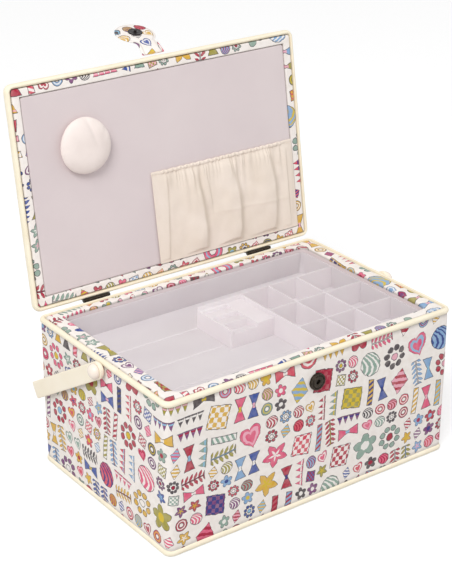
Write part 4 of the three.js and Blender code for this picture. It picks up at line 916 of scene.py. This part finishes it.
def softened(node, name, material, body, width):
    """A merged copy of a CAD node with its edges rounded."""
    mesh = frame["nodes"][node].data.copy()
    work = bmesh.new()
    work.from_mesh(mesh)
    bmesh.ops.remove_doubles(work, verts=work.verts, dist=1e-6)
    work.to_mesh(mesh)
    work.free()
    piece = finish_piece(name, mesh, material, body, (node,), 180)
    bevel = piece.modifiers.new("rounded_edges", "BEVEL")
    bevel.width = width * MM
    bevel.segments = 2
    bevel.limit_method = "ANGLE"
    bevel.angle_limit = math.radians(35)
    bevel.harden_normals = True


for side_name in ("left", "right"):
    for body in ("case", "lid"):
        leaf = f"_{body}_leaf"
        softened(f"{side_name}_hinge{leaf}", side_name + leaf, dark_bronze, body, 0.25)

# Tray: one moulding. An open row at the back, three rows of three small cells at the right, an open left
# part with low ribs, and a block whose seats for reels drop at their back and slope up to the front
tray_wall, wall_draft, tray_radius, tray_taper = 1.5, 0.55, 8.0, 2.0
half_wall, slip = tray_wall / 2, 0.01
tray_floor, rib_height = tray_low[2] + 1.6, 0.9
column_x, row_y = np.array([31.0, 69.0, 109.0]), np.array([51.0, 0.0, -51.0])
rack_left, rack_front, rack_top = -27.0, -11.0, tray_high[2] - 4.5
seat_left, seat_right = -24.5, 8.0
# Each seat's rear and front place, and how deep it is at each
seats = ((45.0, 33.0, 3.5, 0.0), (27.0, 12.0, 5.0, 1.0), (7.0, rack_front, 9.0, 4.0))


def tray_lines(walls, extra, half):
    """Grid lines at the foot and the shoulders of each wall, at other edges, and evenly between."""
    spacing = 6.0
    offsets = (-half_wall - wall_draft, -half_wall, half_wall, half_wall + wall_draft)
    edges = np.concatenate([np.add.outer(walls, offsets).ravel(), extra])
    rim = half - np.array([0, tray_wall, tray_wall + wall_draft])
    edges = np.concatenate([edges, rim, -rim])
    even = np.arange(-half + spacing, half - spacing / 2, spacing)
    even = even[np.abs(even[:, None] - edges).min(1) > spacing / 4]
    return np.unique(np.round(np.concatenate([edges, even]), 4))


def wall_height(distance, base, top):
    """A wall's height by the distance from its middle plane: level on top, then down its drafted face."""
    return np.interp(distance, (half_wall, half_wall + wall_draft), (top, base))


seat_lines = np.array([(rear, rear - wall_draft, front) for rear, front, *_ in seats]).ravel()
rack_lines = (rack_left, rack_left - wall_draft, seat_left, seat_left + wall_draft, seat_right - wall_draft,
              seat_right)
x, y = np.meshgrid(
    tray_lines(column_x, rack_lines, tray_high[0]),
    tray_lines(row_y, (rack_front, rack_front - wall_draft, *seat_lines), tray_high[1]),
)
in_rack = (x > rack_left - slip) & (x < column_x[0]) & (y > rack_front - slip) & (y < row_y[0])
height = np.where(in_rack, rack_top, tray_floor)
for rear, front, deep, shallow in seats:
    slope = shallow + (deep - shallow) * (y - front) / (rear - front)
    in_seat = (x > seat_left + slip) & (x < seat_right - slip) & (y > front - slip) & (y < rear - slip)
    height = np.where(in_seat, rack_top - slope, height)
before_back_row = y < row_y[0] + half_wall + wall_draft / 2
for place in column_x:
    divider = wall_height(np.abs(x - place), tray_floor, tray_high[2])
    height = np.maximum(height, np.where(before_back_row, divider, 0))
for place in row_y:
    start = rack_left if place == row_y[0] else column_x[0]
    top = np.where(x > start - slip, tray_high[2], tray_floor + rib_height)
    share = wall_height(np.abs(y - place), 0, 1)
    height = np.maximum(height, tray_floor + (top - tray_floor) * share)
inside = np.minimum(tray_high[0] - np.abs(x), tray_high[1] - np.abs(y))
rim_height = np.interp(inside, (tray_wall, tray_wall + wall_draft), (tray_high[2], tray_floor))
height = np.maximum(height, rim_height)
straight = tray_high[:2] - tray_radius
past = np.clip((np.abs(y) - straight[1]) / tray_radius, 0, 1)
beyond = np.clip(np.abs(x) - straight[0], 0, None)
round_x = np.sign(x) * (np.minimum(np.abs(x), straight[0]) + beyond * np.sqrt(1 - past ** 2))
foot_scale = 1 - tray_taper / tray_high[:2]
tray_top = np.stack([round_x, y, height], -1)
tray_foot = np.stack([round_x * foot_scale[0], y * foot_scale[1], np.full_like(x, tray_low[2])], -1)
sides = [np.stack([tray_top[edge], tray_foot[edge]]) for edge in (0, -1, np.s_[:, 0], np.s_[:, -1])]
make_piece("tray_moulding", [(grid, None, SHEET) for grid in (tray_top, tray_foot, *sides)], tray_plastic,
           "tray", "tray", sharp=35)

# Hinge screws: small domed heads with a driver's recess, two columns on each leaf
screw_profile = [(0.0, 0.3), (0.7, 0.35), (0.9, 0.85), (1.6, 0.65), (2.1, 0.25), (2.2, -0.2), (0.0, -0.2)]
screw_half_gap, case_screw_rise, lid_screw_drop = 9, (5, 14), 3.2
for side_name in ("left", "right"):
    leaf_low, leaf_high = extent(side_name + "_hinge_case_leaf")
    lid_leaf_top = extent(side_name + "_hinge_lid_leaf", shut)[1][2]
    middle, plate_y, _ = (leaf_low + leaf_high) / 2 + np.array([0, 0.5, 0])
    case_rows = [leaf_low[2] + rise for rise in case_screw_rise]
    for body, rows in (("case", case_rows), ("lid", [lid_leaf_top - lid_screw_drop])):
        screws = [turned(screw_profile, (-1, 0, 0), (0, 0, 1), (middle + x, plate_y, z), 20)
                  for z in rows for x in (-screw_half_gap, screw_half_gap)]
        make_piece(f"{side_name}_{body}_leaf_screws", screws, dark_bronze, body, sharp=35)

# Carried-over CAD nodes and their finishes
for material, nodes in (
    (board, ("front_board", "back_board", "left_board", "right_board", "left_inner_board",
             "right_inner_board", "base_board", "lid_board")),
    (underside_felt, ("underside_cover",)),
    (lining_satin, ("left_tray_ledge", "right_tray_ledge")),
    (cream_plastic, ("left_pivot_spacer", "right_pivot_spacer")),
    (zinc, ("left_pivot_bolt", "right_pivot_bolt", "left_pivot_nut", "right_pivot_nut",
            "snap_socket_washer")),
    (dark_bronze, ("left_hinge_pin", "right_hinge_pin")),
):
    for node in nodes:
        mesh = frame["nodes"][node].data
        mesh.materials.clear()
        mesh.materials.append(material)


def lamp(name, place, aim, size, power):
    """A square soft white lamp that looks at a point, with its places and size in metres."""
    data = bpy.data.lights.new(name, "AREA")
    data.shape, data.size, data.energy = "SQUARE", size, power
    light = bpy.data.objects.new(name, data)
    light.location = place
    x, y, z = (a - p for a, p in zip(aim, place))
    light.rotation_euler = (math.atan2(math.hypot(x, y), -z), 0.0, math.atan2(y, x) - math.pi / 2)
    bpy.context.scene.collection.objects.link(light)


lamp("key_lamp", (-1.7, -1.1, 2.3), (0, 0, 0.15), 1.2, 50)
lamp("fill_lamp", (1.9, -1.3, 1.5), (0, 0, 0.2), 2.0, 10)


def seen_rays(node):
    """1 for rays that see the background: camera, mirror and glass rays."""
    rays = node("LightPath").outputs
    either = ("MAXIMUM", rays["Is Camera Ray"], rays["Is Glossy Ray"])
    return node("MAXIMUM", either, rays["Is Transmission Ray"])


def white_world():
    """A white background to the eye, and even soft light on the object."""
    world, node = blank("studio", "worlds")
    bpy.context.scene.world = world
    strength = ("MapRange", {"Value": seen_rays(node), "To Min": 0.6, "To Max": 1.0})
    node("OutputWorld", ("Background", (1.0, 1.0, 1.0, 1.0), strength))


white_world()


def studio_floor():
    """A pale matt floor that keeps the shadow, lifted to white for the rays that see it."""
    material, node = blank("studio_floor")
    node("OutputMaterial", ("BsdfPrincipled", {
        "Base Color": (0.6, 0.6, 0.6, 1.0), "Roughness": 0.9, "Emission Color": (1.0, 1.0, 1.0, 1.0),
        "Emission Strength": ("MULTIPLY", seen_rays(node), 0.5),
    }))
    rings = [(radius, 0.0) for radius in (0.0, 1000.0, 4000.0, 14000.0)]
    disc = turned(rings, (1, 0, 0), (0, 1, 0), (0, 0, 0))
    make_piece("floor", [disc], material, None, facing=(0, 0, 1))


studio_floor()
